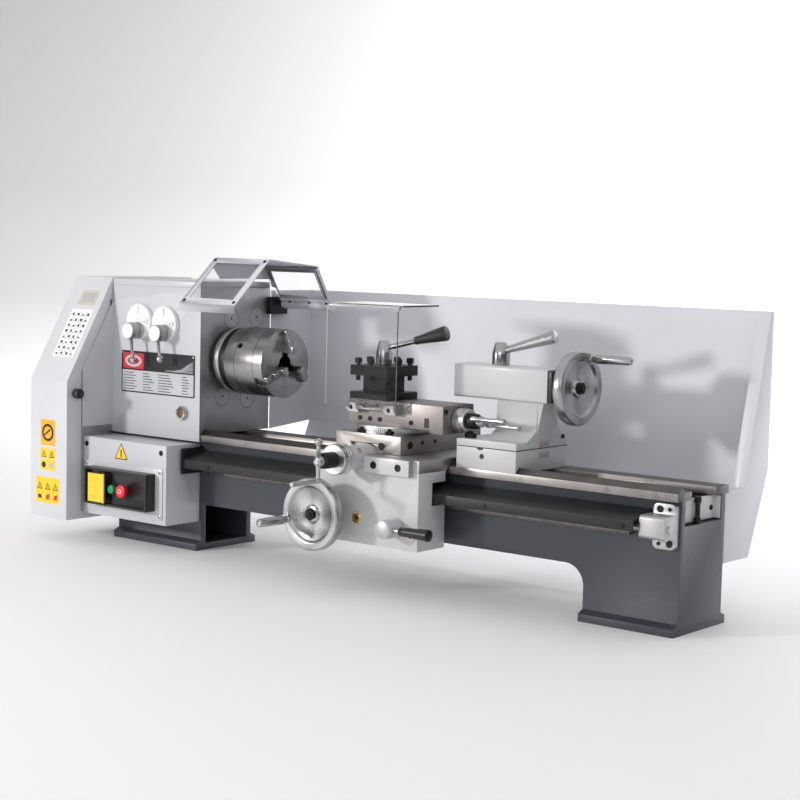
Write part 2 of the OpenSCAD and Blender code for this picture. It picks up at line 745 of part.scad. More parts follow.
// Two-ended crank along +Z: hub, cross bar and one or two turned handles.
module crank(bar, handle, ball_first) {
    cylinder(h = 12, r = 9);
    rotate([0, 90, 0]) translate([-6, 0, -bar]) cylinder(h = 2 * bar, r = 4);
    for (s = [-1, 1])
        if (ball_first && s < 0) {
            translate([s * bar, 0, 6]) sphere(r = 7);
        } else {
            translate([s * bar, 0, 1]) cylinder(h = 10, r = 4.5);
            translate([s * bar, 0, 11]) cylinder(h = handle, r1 = 3.2, r2 = 4.5);
        }
}

module cross_feed_crank() color([0.75, 0.75, 0.77])
    translate([cross_mid_x - 1.5, 0, feed_height]) {
        rod_y(-192, -100, 0, 0, wheel_shaft_r);
        rod_y(-215, -190.5, 0, 0, 26);
        rod_y(-245, -215, 0, 0, 13.5);
        translate([0, -245, 0]) rotate([90, 90, 0]) crank(32, 60, true);
    }

module swivel_base() color([0.62, 0.62, 0.63]) {
    rod_z(cross_top, 279, cross_mid_x - 0.5, compound_y, swivel_r);
    sweep_x(cross_mid_x - 60, cross_mid_x + 60) polygon([[compound_y - 22, 279],
        [compound_y + 22, 279], [compound_y + 28, 290], [compound_y - 28, 290]]);
}

module top_slide() color([0.47, 0.46, 0.46])
    difference() {
        top_right = top_left + top_length;
        union() {
            block(top_left, top_right, compound_y - top_width / 2, compound_y + top_width / 2,
                279 + slide_gap, top_height);
            block(top_right - 26, top_right, compound_y - top_width / 2,
                compound_y + top_width / 2, 274, 280);
        }
        sweep_x(top_left - 1, cross_mid_x + 92) polygon([
            [compound_y - 22.2, 279], [compound_y + 22.2, 279],
            [compound_y + 28.4, 290.4], [compound_y - 28.4, 290.4]]);
        rod_x(cross_mid_x + 93, top_right + 1, compound_y, top_feed_height, 6 + run_gap);
        rod_z(top_height - 20, top_height + 1, post_x, compound_y, 9 + run_gap);
    }

module top_slide_crank() color([0.75, 0.75, 0.77])
    translate([top_left + top_length, compound_y, top_feed_height]) {
        rod_x(-32, 1, 0, 0, 6);
        rod_x(0.3, 24, 0, 0, 20);
        rod_x(24, 42, 0, 0, 13);
        translate([42, 0, 0]) rotate([-17, 0, 0]) rotate([0, 90, 0]) rotate([0, 0, 90])
            crank(top_crank_r, 58, false);
    }

module shield_clips() color([0.6, 0.6, 0.62]) {
    face = compound_y - top_width / 2;
    for (x = [2, 84]) {
        block(x, x + 24, pin_y - 4, pin_y + 1, pin_z - 4, pin_z + 8);
        block(x, x + 24, pin_y, face, pin_z - 8, pin_z + 8);
    }
    rod_x(2, 108, pin_y, pin_z, 3);
}

module tool_shield() color([0.85, 0.88, 0.92, 0.4]) {
    right = shield_left + shield_width;
    bend_z = 470;
    bend_r = 14;
    inner = shield_front + 3;
    block(shield_left, right, shield_front, inner, 307, bend_z);
    sweep_x(shield_left, right) intersection() {
        translate([shield_front + bend_r, bend_z]) difference() {
            circle(r = bend_r);
            circle(r = bend_r - 3);
        }
        translate([shield_front, bend_z]) square(bend_r);
    }
    block(shield_left, right, shield_front + bend_r, -15, bend_z + bend_r - 3,
        bend_z + bend_r);
    difference() {
        for (x = [29, 70])
            block(x, x + 11, inner, pin_y + 6, pin_z - 0.5, pin_z + 10);
        rod_x(25, 85, pin_y, pin_z, 3 + run_gap);
    }
}

module toolpost() color([0.06, 0.06, 0.07])
    translate([post_x, compound_y, 0]) difference() {
        union() {
            translate([-post_side / 2, -post_side / 2, top_height + slide_gap])
                cube([post_side, post_side, post_base_top - top_height - slide_gap]);
            translate([-25, -25, post_base_top]) cube([50, 50, 28]);
            translate([-post_side / 2, -post_side / 2, 361])
                cube([post_side, post_side, post_top - 361]);
        }
        rod_z(top_height - 1, post_top + 1, 0, 0, 9 + run_gap);
        for (s = post_screws)
            rotate([0, 0, s[0]]) rod_z(360, post_top + 1, s[1], -33, 4 + run_gap);
    }

module toolpost_screws() color([0.08, 0.08, 0.09])
    translate([post_x, compound_y, 0])
        for (s = post_screws)
            rotate([0, 0, s[0]]) {
                rod_z(352, post_top + 4, s[1], -33, 4);
                translate([s[1] - 5, -38, post_top + 4]) cube([10, 10, 9]);
            }

module toolpost_lever() color([0.7, 0.7, 0.72]) {
    hub_z = post_top + 0.2;
    rod_z(top_height - 19, hub_z, post_x, compound_y, 9);
    rod_z(hub_z, 401, post_x, compound_y, 14.5);
    translate([post_x, compound_y, 401]) cylinder(h = 20, r1 = 14.5, r2 = 9);
    translate([post_x, compound_y, 407]) rotate([0, 75, 12]) {
        cylinder(h = 70, r = 5);
        translate([0, 0, 60]) cylinder(h = 62, r1 = 7, r2 = 13);
    }
}

tail_right = tail_left + tail_length;

module tailstock_base() color([0.88, 0.88, 0.88])
    difference() {
        union() {
            block(tail_left, tail_right, way_front, 68, way_height + slide_gap, 257.5);
        }
        sweep_x(tail_left - 1, tail_right + 1) polygon([[ridge_y - 12, way_height - 1],
            [ridge_y + 12, way_height - 1], [ridge_y, way_height + 11]]);
    }

module tailstock_body() color([0.88, 0.88, 0.88])
    difference() {
        union() {
            block(tail_left, tail_right, way_front, 68, 257.5, tail_base_top);
            sweep_x(barrel_left + 87, tail_right) polygon([[-50, tail_base_top],
                [-24, 285], [-22, 335], [24, 335], [40, 290], [62, tail_base_top]]);
            sweep_y(-22, 24) polygon([[tail_right - 1, tail_base_top],
                [tail_right + 2, 290], [tail_right + 12, 335], [tail_right - 1, 335]]);
            translate([0, -barrel_side / 2, spindle_height - barrel_side / 2])
                sweep_x(barrel_left, barrel_left + barrel_length)
                    round_box(barrel_side, barrel_side, 5);
            rod_z(spindle_height + barrel_side / 2, 389, 237.6, 0, 15.5);
        }
        rod_x(barrel_left - 1, barrel_left + barrel_length + 1, 0, spindle_height,
            quill_r + run_gap);
        rod_z(spindle_height + quill_r + 1, 395, 237.6, 0, 6 + run_gap);
    }

module tailstock_quill() color([0.7, 0.7, 0.72])
    difference() {
        rod_x(barrel_left - 3, barrel_left + 150, 0, spindle_height, quill_r);
        translate([barrel_left - 4, 0, spindle_height]) rotate([0, 90, 0])
            cylinder(h = 66, r1 = 9, r2 = 7);
        rod_x(barrel_left + 100, barrel_left + 151, 0, spindle_height, wheel_shaft_r + run_gap);
    }

module tailstock_end_plate() color([0.06, 0.06, 0.07]) {
    left = barrel_left + barrel_length;
    difference() {
        union() {
            block(left, left + 8, -26, 26, spindle_height - 26, spindle_height + 26);
            rod_x(left + 8, left + 15, 0, spindle_height, 20);
        }
        rod_x(left - 1, left + 16, 0, spindle_height, wheel_shaft_r + run_gap);
    }
}

module tailstock_handwheel() color([0.75, 0.75, 0.77]) {
    start = barrel_left + barrel_length + 15.5;
    rod_x(barrel_left + 105, start, 0, spindle_height, wheel_shaft_r);
    translate([start, 0, spindle_height]) rotate([0, 90, 0]) {
        handwheel_body();
        rotate([0, 0, 155]) translate([wheel_r - 8.5, 0, 33.5]) grip(78);
    }
}

module quill_lever() color([0.75, 0.75, 0.77]) {
    rod_z(380, 389.2, 237.6, 0, 6);
    rod_z(389.2, 408, 237.6, 0, 15);
    translate([237.6, 0, 408]) cylinder(h = 19, r1 = 15, r2 = 10);
    translate([237.6, 0, 411]) rotate([0, 74, 0]) cylinder(h = 112, r1 = 5.5, r2 = 11);
}

// Light plate that closes the right end of the bed between its walls.
module bed_end_plate() color([0.88, 0.88, 0.88]) {
    inner = bed_half_depth - bed_wall - slide_gap;
    right = bed_right - bed_wall - slide_gap;
    block(right - 6, right, -inner, inner, way_under - 38, way_under - 2);
    block(right - 3, bed_right - 1, inner - 2, inner, way_under - 38, way_under - 2);
}

module bed_stop_bolt() color([0.05, 0.05, 0.05]) {
    foot_z = way_under - 40;
    rod_z(foot_z, foot_z + 9, bed_right - 6, -8, 5.8);
    rod_z(foot_z + 8, foot_z + 33, bed_right - 6, -8, 4);
    rod_z(foot_z + 32, foot_z + 42, bed_right - 6, -8, 5.5);
}

bed();
gear_rack();
leadscrew();
leadscrew_gear();
leadscrew_cover();
leadscrew_brackets();
headstock_casting();
headstock_cover();
spindle();
spindle_bearings();
spindle_gear();
chuck_back_plate();
chuck_body();
chuck_jaw_1();
chuck_jaw_2();
chuck_jaw_3();
gear_arm();
idler_gear_upper();
idler_gear_lower();
gear_cover();
gear_cover_knob();
electrical_box();
switch_plate();
switch_housing();
start_button();
stop_button();
switch_flap();
speed_dials();
speed_lever_left();
speed_lever_right();
oil_sight_glass();
nameplate();
chuck_guard_frame();
chuck_guard_windows();
guard_hinge_block();
splash_guard();
splash_brackets();
saddle();
apron();
apron_handwheel();
apron_pinion();
half_nut_lever();
cross_slide();
cross_feed_crank();
swivel_base();
top_slide();
shield_clips();
tool_shield();
top_slide_crank();
toolpost();
toolpost_screws();
toolpost_lever();
tailstock_base();
tailstock_body();
tailstock_quill();
tailstock_end_plate();
tailstock_handwheel();
quill_lever();
bed_end_plate();
bed_stop_bolt();
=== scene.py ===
import json
from math import atan2, cos, pi, radians, sin, sqrt

import bmesh
import bpy
from mathutils import Matrix, Vector


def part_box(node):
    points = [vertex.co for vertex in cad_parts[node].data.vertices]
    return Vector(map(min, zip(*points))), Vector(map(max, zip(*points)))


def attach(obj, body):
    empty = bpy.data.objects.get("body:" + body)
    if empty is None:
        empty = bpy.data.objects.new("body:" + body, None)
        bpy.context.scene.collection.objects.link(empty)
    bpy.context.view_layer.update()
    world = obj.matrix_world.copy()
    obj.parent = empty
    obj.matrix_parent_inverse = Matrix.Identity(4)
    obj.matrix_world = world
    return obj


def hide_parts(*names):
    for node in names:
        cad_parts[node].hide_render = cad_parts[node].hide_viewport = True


mm = 0.001

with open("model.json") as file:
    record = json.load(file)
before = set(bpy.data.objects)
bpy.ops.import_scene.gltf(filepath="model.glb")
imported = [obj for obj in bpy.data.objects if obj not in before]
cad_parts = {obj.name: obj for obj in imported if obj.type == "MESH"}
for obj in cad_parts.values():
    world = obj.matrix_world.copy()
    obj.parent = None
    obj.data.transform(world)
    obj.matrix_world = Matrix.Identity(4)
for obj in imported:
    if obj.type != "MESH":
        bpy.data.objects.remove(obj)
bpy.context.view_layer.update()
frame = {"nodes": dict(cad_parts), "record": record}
nodes = frame["nodes"]
print("lathe frame loaded:", len(nodes), "nodes")


def node(tree, kind, settings=None, **sockets):
    made = tree.nodes.new(kind)
    for key, value in (settings or {}).items():
        setattr(made, key, value)
    for key, value in sockets.items():
        made.inputs[key.replace("_", " ")].default_value = value
    return made


def math(tree, operation, a, b=None):
    made = node(tree, "ShaderNodeMath", {"operation": operation})
    for socket, value in zip(made.inputs, (a, b)):
        if value is None:
            continue
        if isinstance(value, (int, float)):
            socket.default_value = value
        else:
            tree.links.new(value, socket)
    return made.outputs[0]


def shader(name, sockets):
    mat = bpy.data.materials.new(name)
    mat.use_nodes = True
    bsdf = mat.node_tree.nodes["Principled BSDF"]
    for key, value in sockets.items():
        bsdf.inputs[key].default_value = value
    return mat, mat.node_tree, bsdf


def blotch(tree, coords, bsdf, color, spread, scale):
    noise = node(tree, "ShaderNodeTexNoise", Scale=scale, Detail=4.0, Roughness=0.6)
    tree.links.new(coords, noise.inputs["Vector"])
    ramp = node(tree, "ShaderNodeValToRGB")
    ramp.color_ramp.elements[0].position = 0.3
    ramp.color_ramp.elements[1].position = 0.72
    ramp.color_ramp.elements[0].color = [c * (1 - spread) for c in color[:3]] + [1]
    ramp.color_ramp.elements[1].color = [min(1, c * (1 + spread)) for c in color[:3]] + [1]
    tree.links.new(noise.outputs["Fac"], ramp.inputs["Fac"])
    tree.links.new(ramp.outputs["Color"], bsdf.inputs["Base Color"])
    return ramp.outputs["Color"]


def roughen(tree, source, bsdf, low, high):
    spread = node(tree, "ShaderNodeMapRange")
    spread.inputs["To Min"].default_value = low
    spread.inputs["To Max"].default_value = high
    tree.links.new(source, spread.inputs["Value"])
    tree.links.new(spread.outputs["Result"], bsdf.inputs["Roughness"])


def bumpFrom(tree, height, bsdf, strength, depth):
    bump = node(tree, "ShaderNodeBump", Strength=strength, Distance=depth)
    tree.links.new(height, bump.inputs["Height"])
    tree.links.new(bump.outputs["Normal"], bsdf.inputs["Normal"])


def paint(name, color, rough, coat=0.0, peel=0.12, cast=0.0, spread=0.03):
    mat, tree, bsdf = shader(name, {"Roughness": rough, "Coat Weight": coat, "Coat Roughness": 0.12})
    coords = node(tree, "ShaderNodeTexCoord").outputs["Object"]
    blotch(tree, coords, bsdf, color, spread, 7.0)
    skin = node(tree, "ShaderNodeTexNoise", Scale=420.0, Detail=2.0)
    tree.links.new(coords, skin.inputs["Vector"])
    height = skin.outputs["Fac"]
    if cast:
        lumps = node(tree, "ShaderNodeTexNoise", Scale=70.0, Detail=3.0)
        tree.links.new(coords, lumps.inputs["Vector"])
        height = math(tree, "ADD", height, math(tree, "MULTIPLY", lumps.outputs["Fac"], cast))
    roughen(tree, skin.outputs["Fac"], bsdf, rough - 0.05, rough + 0.06)
    bumpFrom(tree, height, bsdf, peel, 0.0006)
    return mat


def groundMetal(name, color, rough, stretch=(8, 8, 8), depth=0.1, spread=0.12, stains=0.0):
    mat, tree, bsdf = shader(name, {"Metallic": 1.0})
    coords = node(tree, "ShaderNodeTexCoord").outputs["Object"]
    tint = blotch(tree, coords, bsdf, color, spread, 14.0)
    mapping = node(tree, "ShaderNodeMapping", Scale=stretch)
    tree.links.new(coords, mapping.inputs["Vector"])
    lines = node(tree, "ShaderNodeTexNoise", Scale=60.0, Detail=5.0, Roughness=0.7)
    tree.links.new(mapping.outputs["Vector"], lines.inputs["Vector"])
    if stains:
        oil = node(tree, "ShaderNodeTexNoise", Scale=30.0, Detail=8.0, Roughness=0.75)
        tree.links.new(coords, oil.inputs["Vector"])
        dark = node(tree, "ShaderNodeMix", {"data_type": "RGBA", "blend_type": "MULTIPLY"})
        tree.links.new(math(tree, "MULTIPLY", math(tree, "GREATER_THAN", oil.outputs["Fac"], 0.6), stains),
                       dark.inputs["Factor"])
        tree.links.new(tint, dark.inputs[6])
        dark.inputs[7].default_value = (0.45, 0.38, 0.32, 1)
        tree.links.new(dark.outputs[2], bsdf.inputs["Base Color"])
    roughen(tree, lines.outputs["Fac"], bsdf, rough - 0.08, rough + 0.12)
    bumpFrom(tree, lines.outputs["Fac"], bsdf, depth, 0.0004)
    return mat


def aroundAxis(tree, axis, centre):
    coords = node(tree, "ShaderNodeTexCoord").outputs["Object"]
    parts = node(tree, "ShaderNodeSeparateXYZ")
    tree.links.new(coords, parts.inputs[0])
    others = [i for i in range(3) if i != axis]
    a, b = [math(tree, "SUBTRACT", parts.outputs[i], centre[k] * mm) for k, i in enumerate(others)]
    radius = math(tree, "SQRT", math(tree, "ADD", math(tree, "MULTIPLY", a, a), math(tree, "MULTIPLY", b, b)))
    return parts.outputs[axis], radius, math(tree, "ARCTAN2", b, a)


def turnedHub(name, color, rough):
    # brushed round a hub that stands out along Y
    return groundMetal(name, color, rough, (2, 40, 2), 0.1, 0.06)


def turnedMetal(name, color, rough, axis, centre, depth=0.12, reflectionSweep=0.25):
    mat, tree, bsdf = shader(name, {"Metallic": 1.0})
    along, radius, angle = aroundAxis(tree, axis, centre)
    rings = node(tree, "ShaderNodeTexNoise", {"noise_dimensions": "2D"}, Scale=1100.0, Detail=2.0)
    place = node(tree, "ShaderNodeCombineXYZ")
    tree.links.new(radius, place.inputs[0])
    tree.links.new(along, place.inputs[1])
    tree.links.new(place.outputs[0], rings.inputs["Vector"])
    # painted reflection: faint light and dark rays across the turned face, standing in for how turned metal
    # reflects the room
    reflectionRays = math(tree, "ABSOLUTE", math(tree, "SINE", math(tree, "MULTIPLY", angle, 2.0)))
    shade = node(tree, "ShaderNodeMix", {"data_type": "RGBA"})
    shade.inputs[6].default_value = [c * (1 - reflectionSweep) for c in color[:3]] + [1]
    shade.inputs[7].default_value = list(color[:3]) + [1]
    tree.links.new(reflectionRays, shade.inputs["Factor"])
    tree.links.new(shade.outputs[2], bsdf.inputs["Base Color"])
    roughen(tree, rings.outputs["Fac"], bsdf, rough - 0.07, rough + 0.12)
    bumpFrom(tree, rings.outputs["Fac"], bsdf, depth, 0.0003)
    return mat


def scaleRing(name, color, rough, axis, centre, marks, bands):
    mat, tree, bsdf = shader(name, {"Metallic": 1.0, "Roughness": rough})
    along, radius, angle = aroundAxis(tree, axis, centre)
    turn = math(tree, "FRACT", math(tree, "MULTIPLY", angle, marks / (2 * pi)))
    line = math(tree, "LESS_THAN", math(tree, "ABSOLUTE", math(tree, "SUBTRACT", turn, 0.5)), 0.11)
    low, high = bands
    inside = math(tree, "MULTIPLY", math(tree, "GREATER_THAN", along, low * mm),
                  math(tree, "LESS_THAN", along, high * mm))
    mask = math(tree, "MULTIPLY", line, inside)
    shade = node(tree, "ShaderNodeMix", {"data_type": "RGBA"})
    shade.inputs[6].default_value = list(color[:3]) + [1]
    shade.inputs[7].default_value = (0.02, 0.02, 0.02, 1)
    tree.links.new(mask, shade.inputs["Factor"])
    tree.links.new(shade.outputs[2], bsdf.inputs["Base Color"])
    rings = node(tree, "ShaderNodeTexNoise", {"noise_dimensions": "1D"}, Scale=900.0, Detail=2.0)
    tree.links.new(along, rings.inputs["W"])
    bumpFrom(tree, rings.outputs["Fac"], bsdf, 0.1, 0.0002)
    return mat


def plastic(name, color, rough, grain=0.08):
    mat, tree, bsdf = shader(name, {"Roughness": rough})
    coords = node(tree, "ShaderNodeTexCoord").outputs["Object"]
    blotch(tree, coords, bsdf, color, 0.06, 40.0)
    skin = node(tree, "ShaderNodeTexNoise", Scale=900.0, Detail=3.0)
    tree.links.new(coords, skin.inputs["Vector"])
    roughen(tree, skin.outputs["Fac"], bsdf, rough - 0.05, rough + 0.08)
    bumpFrom(tree, skin.outputs["Fac"], bsdf, grain, 0.0003)
    return mat


def clearSheet(name, tint, rough):
    mat, tree, bsdf = shader(name, {"Roughness": rough, "IOR": 1.2, "Transmission Weight": 1.0,
                                    "Base Color": tint})
    coords = node(tree, "ShaderNodeTexCoord").outputs["Object"]
    smear = node(tree, "ShaderNodeTexNoise", Scale=9.0, Detail=6.0)
    tree.links.new(coords, smear.inputs["Vector"])
    roughen(tree, smear.outputs["Fac"], bsdf, rough, rough + 0.05)
    return mat


finish = {
    "bedPaint": paint("bedPaint", (0.04, 0.046, 0.06), 0.4, coat=0.25, peel=0.2, cast=3.0),
    "greyPaint": paint("greyPaint", (0.52, 0.525, 0.56), 0.36, coat=0.3, peel=0.12, cast=0.6),
    "coverPaint": paint("coverPaint", (0.6, 0.605, 0.64), 0.3, coat=0.35, peel=0.14),
    "guardPaint": paint("guardPaint", (0.7, 0.7, 0.76), 0.38, coat=0.2, peel=0.05),
    "whitePaint": paint("whitePaint", (0.57, 0.565, 0.58), 0.34, coat=0.3, peel=0.14, cast=1.0),
    "blackPaint": paint("blackPaint", (0.012, 0.012, 0.014), 0.48, coat=0.08, peel=0.15),
    "groundWay": groundMetal("groundWay", (0.36, 0.33, 0.32), 0.34, (1, 30, 30), 0.12, 0.16, 0.35),
    "groundIron": groundMetal("groundIron", (0.42, 0.39, 0.37), 0.4, (30, 3, 3), 0.14, 0.14, 0.3),
    # the way tops take a darker copy of the ground way steel: painted reflection of the dark room, plus oil
    # stains
    "wayTopPaintedReflection": groundMetal("wayTopPaintedReflection", (0.15, 0.14, 0.135), 0.36, (1, 30, 30), 0.12, 0.18, 0.4),
    "rackSteel": groundMetal("rackSteel", (0.22, 0.2, 0.19), 0.4, (8, 8, 8), 0.1, 0.2, 0.5),
    "hubSteel": turnedHub("hubSteel", (0.36, 0.36, 0.365), 0.34),
    "machinedFace": groundMetal("machinedFace", (0.5, 0.49, 0.5), 0.46, (4, 4, 4), 0.08, 0.12, 0.12),
    "darkIron": groundMetal("darkIron", (0.3, 0.27, 0.26), 0.42, (3, 30, 30), 0.16, 0.16, 0.4),
    "chrome": groundMetal("chrome", (0.46, 0.46, 0.47), 0.15, (6, 6, 6), 0.02, 0.03),
    "steel": groundMetal("steel", (0.55, 0.54, 0.54), 0.3, (12, 12, 12), 0.06, 0.08),
    "blackOxide": groundMetal("blackOxide", (0.035, 0.034, 0.036), 0.42, (20, 20, 4), 0.14, 0.2),
    "chuckSteel": turnedMetal("chuckSteel", (0.36, 0.35, 0.35), 0.25, 0, (0, 360.5), 0.25),
    "spindleSteel": turnedMetal("spindleSteel", (0.6, 0.6, 0.6), 0.3, 0, (0, 360.5), 0.2),
    "apronWheel": turnedMetal("apronWheel", (0.5, 0.5, 0.51), 0.24, 1, (11.5, 133), 0.18, 0.35),
    "tailWheel": turnedMetal("tailWheel", (0.46, 0.46, 0.47), 0.24, 0, (0, 360.5), 0.18, 0.35),
    "swivelScale": scaleRing("swivelScale", (0.72, 0.72, 0.72), 0.35, 2, (58, -60), 120, (270, 277)),
    "feedScale": scaleRing("feedScale", (0.62, 0.62, 0.62), 0.32, 1, (57, 229), 80, (-214, -206)),
    "topScale": scaleRing("topScale", (0.62, 0.62, 0.62), 0.32, 0, (-60, 297), 60, (212, 220)),
    "blackPlastic": plastic("blackPlastic", (0.012, 0.012, 0.013), 0.3),
    "yellowPlastic": plastic("yellowPlastic", (0.82, 0.6, 0.03), 0.35),
    "greenPlastic": plastic("greenPlastic", (0.005, 0.3, 0.1), 0.3),
    "redPlastic": plastic("redPlastic", (0.75, 0.015, 0.03), 0.3),
    "redInk": plastic("redInk", (0.6, 0.02, 0.04), 0.35),
    "whiteInk": plastic("whiteInk", (0.85, 0.85, 0.85), 0.3),
    "greyInk": plastic("greyInk", (0.42, 0.43, 0.46), 0.35),
    "blackInk": plastic("blackInk", (0.01, 0.01, 0.012), 0.3),
    "yellowInk": plastic("yellowInk", (0.85, 0.58, 0.01), 0.35),
    "plateInk": plastic("plateInk", (0.5, 0.51, 0.54), 0.3),
    "darkInk": plastic("darkInk", (0.02, 0.02, 0.022), 0.4),
    "paperInk": plastic("paperInk", (0.55, 0.5, 0.42), 0.6),
    "orangeInk": plastic("orangeInk", (0.85, 0.4, 0.01), 0.35),
    "brass": groundMetal("brass", (0.62, 0.42, 0.18), 0.3, (8, 8, 8), 0.08, 0.15),
    "frostedEdge": plastic("frostedEdge", (0.92, 0.93, 0.94), 0.25),
    "oilGlass": plastic("oilGlass", (0.2, 0.1, 0.03), 0.08, 0.0),
    "clearSheet": clearSheet("clearSheet", (0.985, 0.99, 0.995, 1), 0.0),
    "window": clearSheet("window", (0.9, 0.91, 0.93, 1), 0.06),
}
print("finishes made:", len(finish))


def finishMesh(bm, name, body, mats, bevel=0.0, angle=32, bevelAngle=28, segments=2, slot=None,
               replaces=None):
    mesh = bpy.data.meshes.new(name)
    for face in bm.faces:
        face.smooth = True
    bm.to_mesh(mesh)
    bm.free()
    obj = bpy.data.objects.new(name, mesh)
    bpy.context.scene.collection.objects.link(obj)
    for m in (mats if isinstance(mats, (list, tuple)) else [mats]):
        mesh.materials.append(finish[m])
    if bevel:
        mod = obj.modifiers.new("edges", "BEVEL")
        mod.width = bevel * mm
        mod.segments = segments
        mod.limit_method = "ANGLE"
        mod.angle_limit = radians(bevelAngle)
        mod.harden_normals = False
        mod.use_clamp_overlap = True
        graph = bpy.context.evaluated_depsgraph_get()
        done = bpy.data.meshes.new_from_object(obj.evaluated_get(graph))
        obj.modifiers.clear()
        obj.data = done
        mesh = done
    mesh.set_sharp_from_angle(angle=radians(angle))
    for poly in mesh.polygons:
        poly.use_smooth = True
    if replaces:
        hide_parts(*replaces)
    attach(obj, body)
    return obj


def addBox(bm, lo, hi, matrix=None, slot=0):
    made = bmesh.ops.create_cube(bm, size=1.0)["verts"]
    lo, hi = Vector(lo), Vector(hi)
    place = Matrix.Translation((lo + hi) / 2) @ Matrix.Diagonal((*(hi - lo), 1))
    bmesh.ops.transform(bm, matrix=(matrix or Matrix()) @ place, verts=made)
    for face in {f for v in made for f in v.link_faces}:
        face.material_index = slot
    return made


def addLathe(bm, profile, matrix, steps=48, slot=0, shape=None):
    rings = []
    for k, (r, h) in enumerate(profile):
        if r < 1e-6:
            rings.append([bm.verts.new(matrix @ Vector((0, 0, h)))])
            continue
        ring = []
        for i in range(steps):
            a = 2 * pi * i / steps
            rr = shape(k, a, r) if shape else r
            ring.append(bm.verts.new(matrix @ Vector((rr * cos(a), rr * sin(a), h))))
        rings.append(ring)
    made = []
    for a, b in zip(rings, rings[1:]):
        for i in range(steps):
            j = (i + 1) % steps
            corners = [a[i % len(a)], a[j % len(a)], b[j % len(b)], b[i % len(b)]]
            unique = list(dict.fromkeys(corners))
            if len(unique) > 2:
                face = bm.faces.new(unique)
                face.material_index = slot
                made.append(face)
    bmesh.ops.recalc_face_normals(bm, faces=made)


def hexFrom(first, last=99):
    def shape(k, a, r):
        return r / cos((a + pi / 6) % (pi / 3) - pi / 6) * 0.94 if first <= k <= last else r
    return shape


def fluted(count, depth, first=0, last=99):
    def shape(k, a, r):
        return r - depth * (0.5 - 0.5 * cos(count * a)) if first <= k <= last else r
    return shape


def addSocketHead(bm, origin, direction, r=4.0, h=3.0, slot=0):
    addLathe(bm, [(0, 0), (r, 0), (r, h - 0.5), (r - 0.5, h), (r * 0.55, h), (r * 0.55, h * 0.3), (0,
             h * 0.3)],
             pointing(origin, direction), 24, slot, hexFrom(4, 5))


def addPanHead(bm, origin, direction, r=4.0, h=2.0, slot=0, twist=20):
    place = pointing(origin, direction, twist)
    addLathe(bm, [(0, 0), (r, 0), (r, h * 0.35), (r * 0.86, h * 0.72), (r * 0.55, h * 0.95), (0, h)], place,
        20, slot)
    # the cross recess is drawn as two thin bars standing proud in the next slot, black ink in every use: painted
    # shade in the recess
    addBox(bm, (-r * 0.6, -r * 0.09, h * 0.9), (r * 0.6, r * 0.09, h * 1.06), place, slot + 1)
    addBox(bm, (-r * 0.09, -r * 0.6, h * 0.9), (r * 0.09, r * 0.6, h * 1.06), place, slot + 1)


def addHexHead(bm, origin, direction, r=6.0, h=5.0, slot=0, bolt=0.0, twist=0):
    profile = [(0, 0), (r, 0), (r, h - 0.8), (r - 0.8, h)]
    if bolt:
        profile += [(bolt, h), (bolt, h + 3), (bolt - 0.8, h + 3.8), (0, h + 3.8)]
    else:
        profile += [(0, h)]
    addLathe(bm, profile, pointing(origin, direction, twist), 6 if not bolt else 24, slot,
             None if not bolt else hexFrom(1, 3))


def addRoundBox(bm, lo, hi, r, axis=1, slot=0, steps=5):
    # a plate with rounded corners; axis is its thin direction
    others = [i for i in range(3) if i != axis]
    a, b = others
    outline = []
    for cx, cy, start in ((hi[a] - r, hi[b] - r, 0), (lo[a] + r, hi[b] - r, 90), (lo[a] + r, lo[b] + r, 180),
                          (hi[a] - r, lo[b] + r, 270)):
        for k in range(steps + 1):
            t = radians(start + 90 * k / steps)
            outline.append((cx + r * cos(t), cy + r * sin(t)))
    addPrism(bm, outline, axis, lo[axis], hi[axis], slot)


def addPrism(bm, outline, axis, low, high, slot=0, matrix=None):
    others = [i for i in range(3) if i != axis]
    rings = []
    for level in (low, high):
        ring = []
        for p in outline:
            spot = [0, 0, 0]
            spot[others[0]], spot[others[1]], spot[axis] = p[0], p[1], level
            ring.append(bm.verts.new((matrix or Matrix()) @ Vector(spot)))
        rings.append(ring)
    faces = [bm.faces.new(rings[0]), bm.faces.new(rings[1][::-1])]
    count = len(outline)
    for i in range(count):
        j = (i + 1) % count
        faces.append(bm.faces.new((rings[0][j], rings[0][i], rings[1][i], rings[1][j])))
    for face in faces:
        face.material_index = slot
    bmesh.ops.recalc_face_normals(bm, faces=faces)


def addTube(bm, points, radii, steps=20, slot=0):
    # a rod through points, with a radius at each
    points = [Vector(p) for p in points]
    rings = []
    side = None
    for k, p in enumerate(points):
        before, after = points[max(k - 1, 0)], points[min(k + 1, len(points) - 1)]
        along = (after - before).normalized()
        side = along.orthogonal().normalized() if side is None else (side - along * side.dot(along)).normalized()
        up = along.cross(side)
        r = radii[k] if isinstance(radii, (list, tuple)) else radii
        rings.append([bm.verts.new(p + (side * cos(2 * pi * i / steps) + up * sin(2 * pi * i / steps)) * r)
                      for i in range(steps)])
    faces = [bm.faces.new(rings[0][::-1]), bm.faces.new(rings[-1])]
    for a, b in zip(rings, rings[1:]):
        for i in range(steps):
            j = (i + 1) % steps
            faces.append(bm.faces.new((a[i], a[j], b[j], b[i])))
    for face in faces:
        face.material_index = slot
    bmesh.ops.recalc_face_normals(bm, faces=faces)


def ballProfile(r, first=0.0, steps=12, flat=0.0):
    return [(r * sin(pi * k / steps), first + r - r * cos(pi * k / steps)) for k in range(steps + 1)]


def pointing(origin, direction, twist=0.0):
    turn = Vector(direction).normalized().to_track_quat("Z", "Y").to_matrix().to_4x4()
    return Matrix.Translation(Vector(origin)) @ turn @ Matrix.Rotation(radians(twist), 4, "Z")


def finishPiece(bm, name, body, mats, **options):
    bmesh.ops.scale(bm, vec=(mm, mm, mm), verts=bm.verts)
    return finishMesh(bm, name, body, mats, **options)


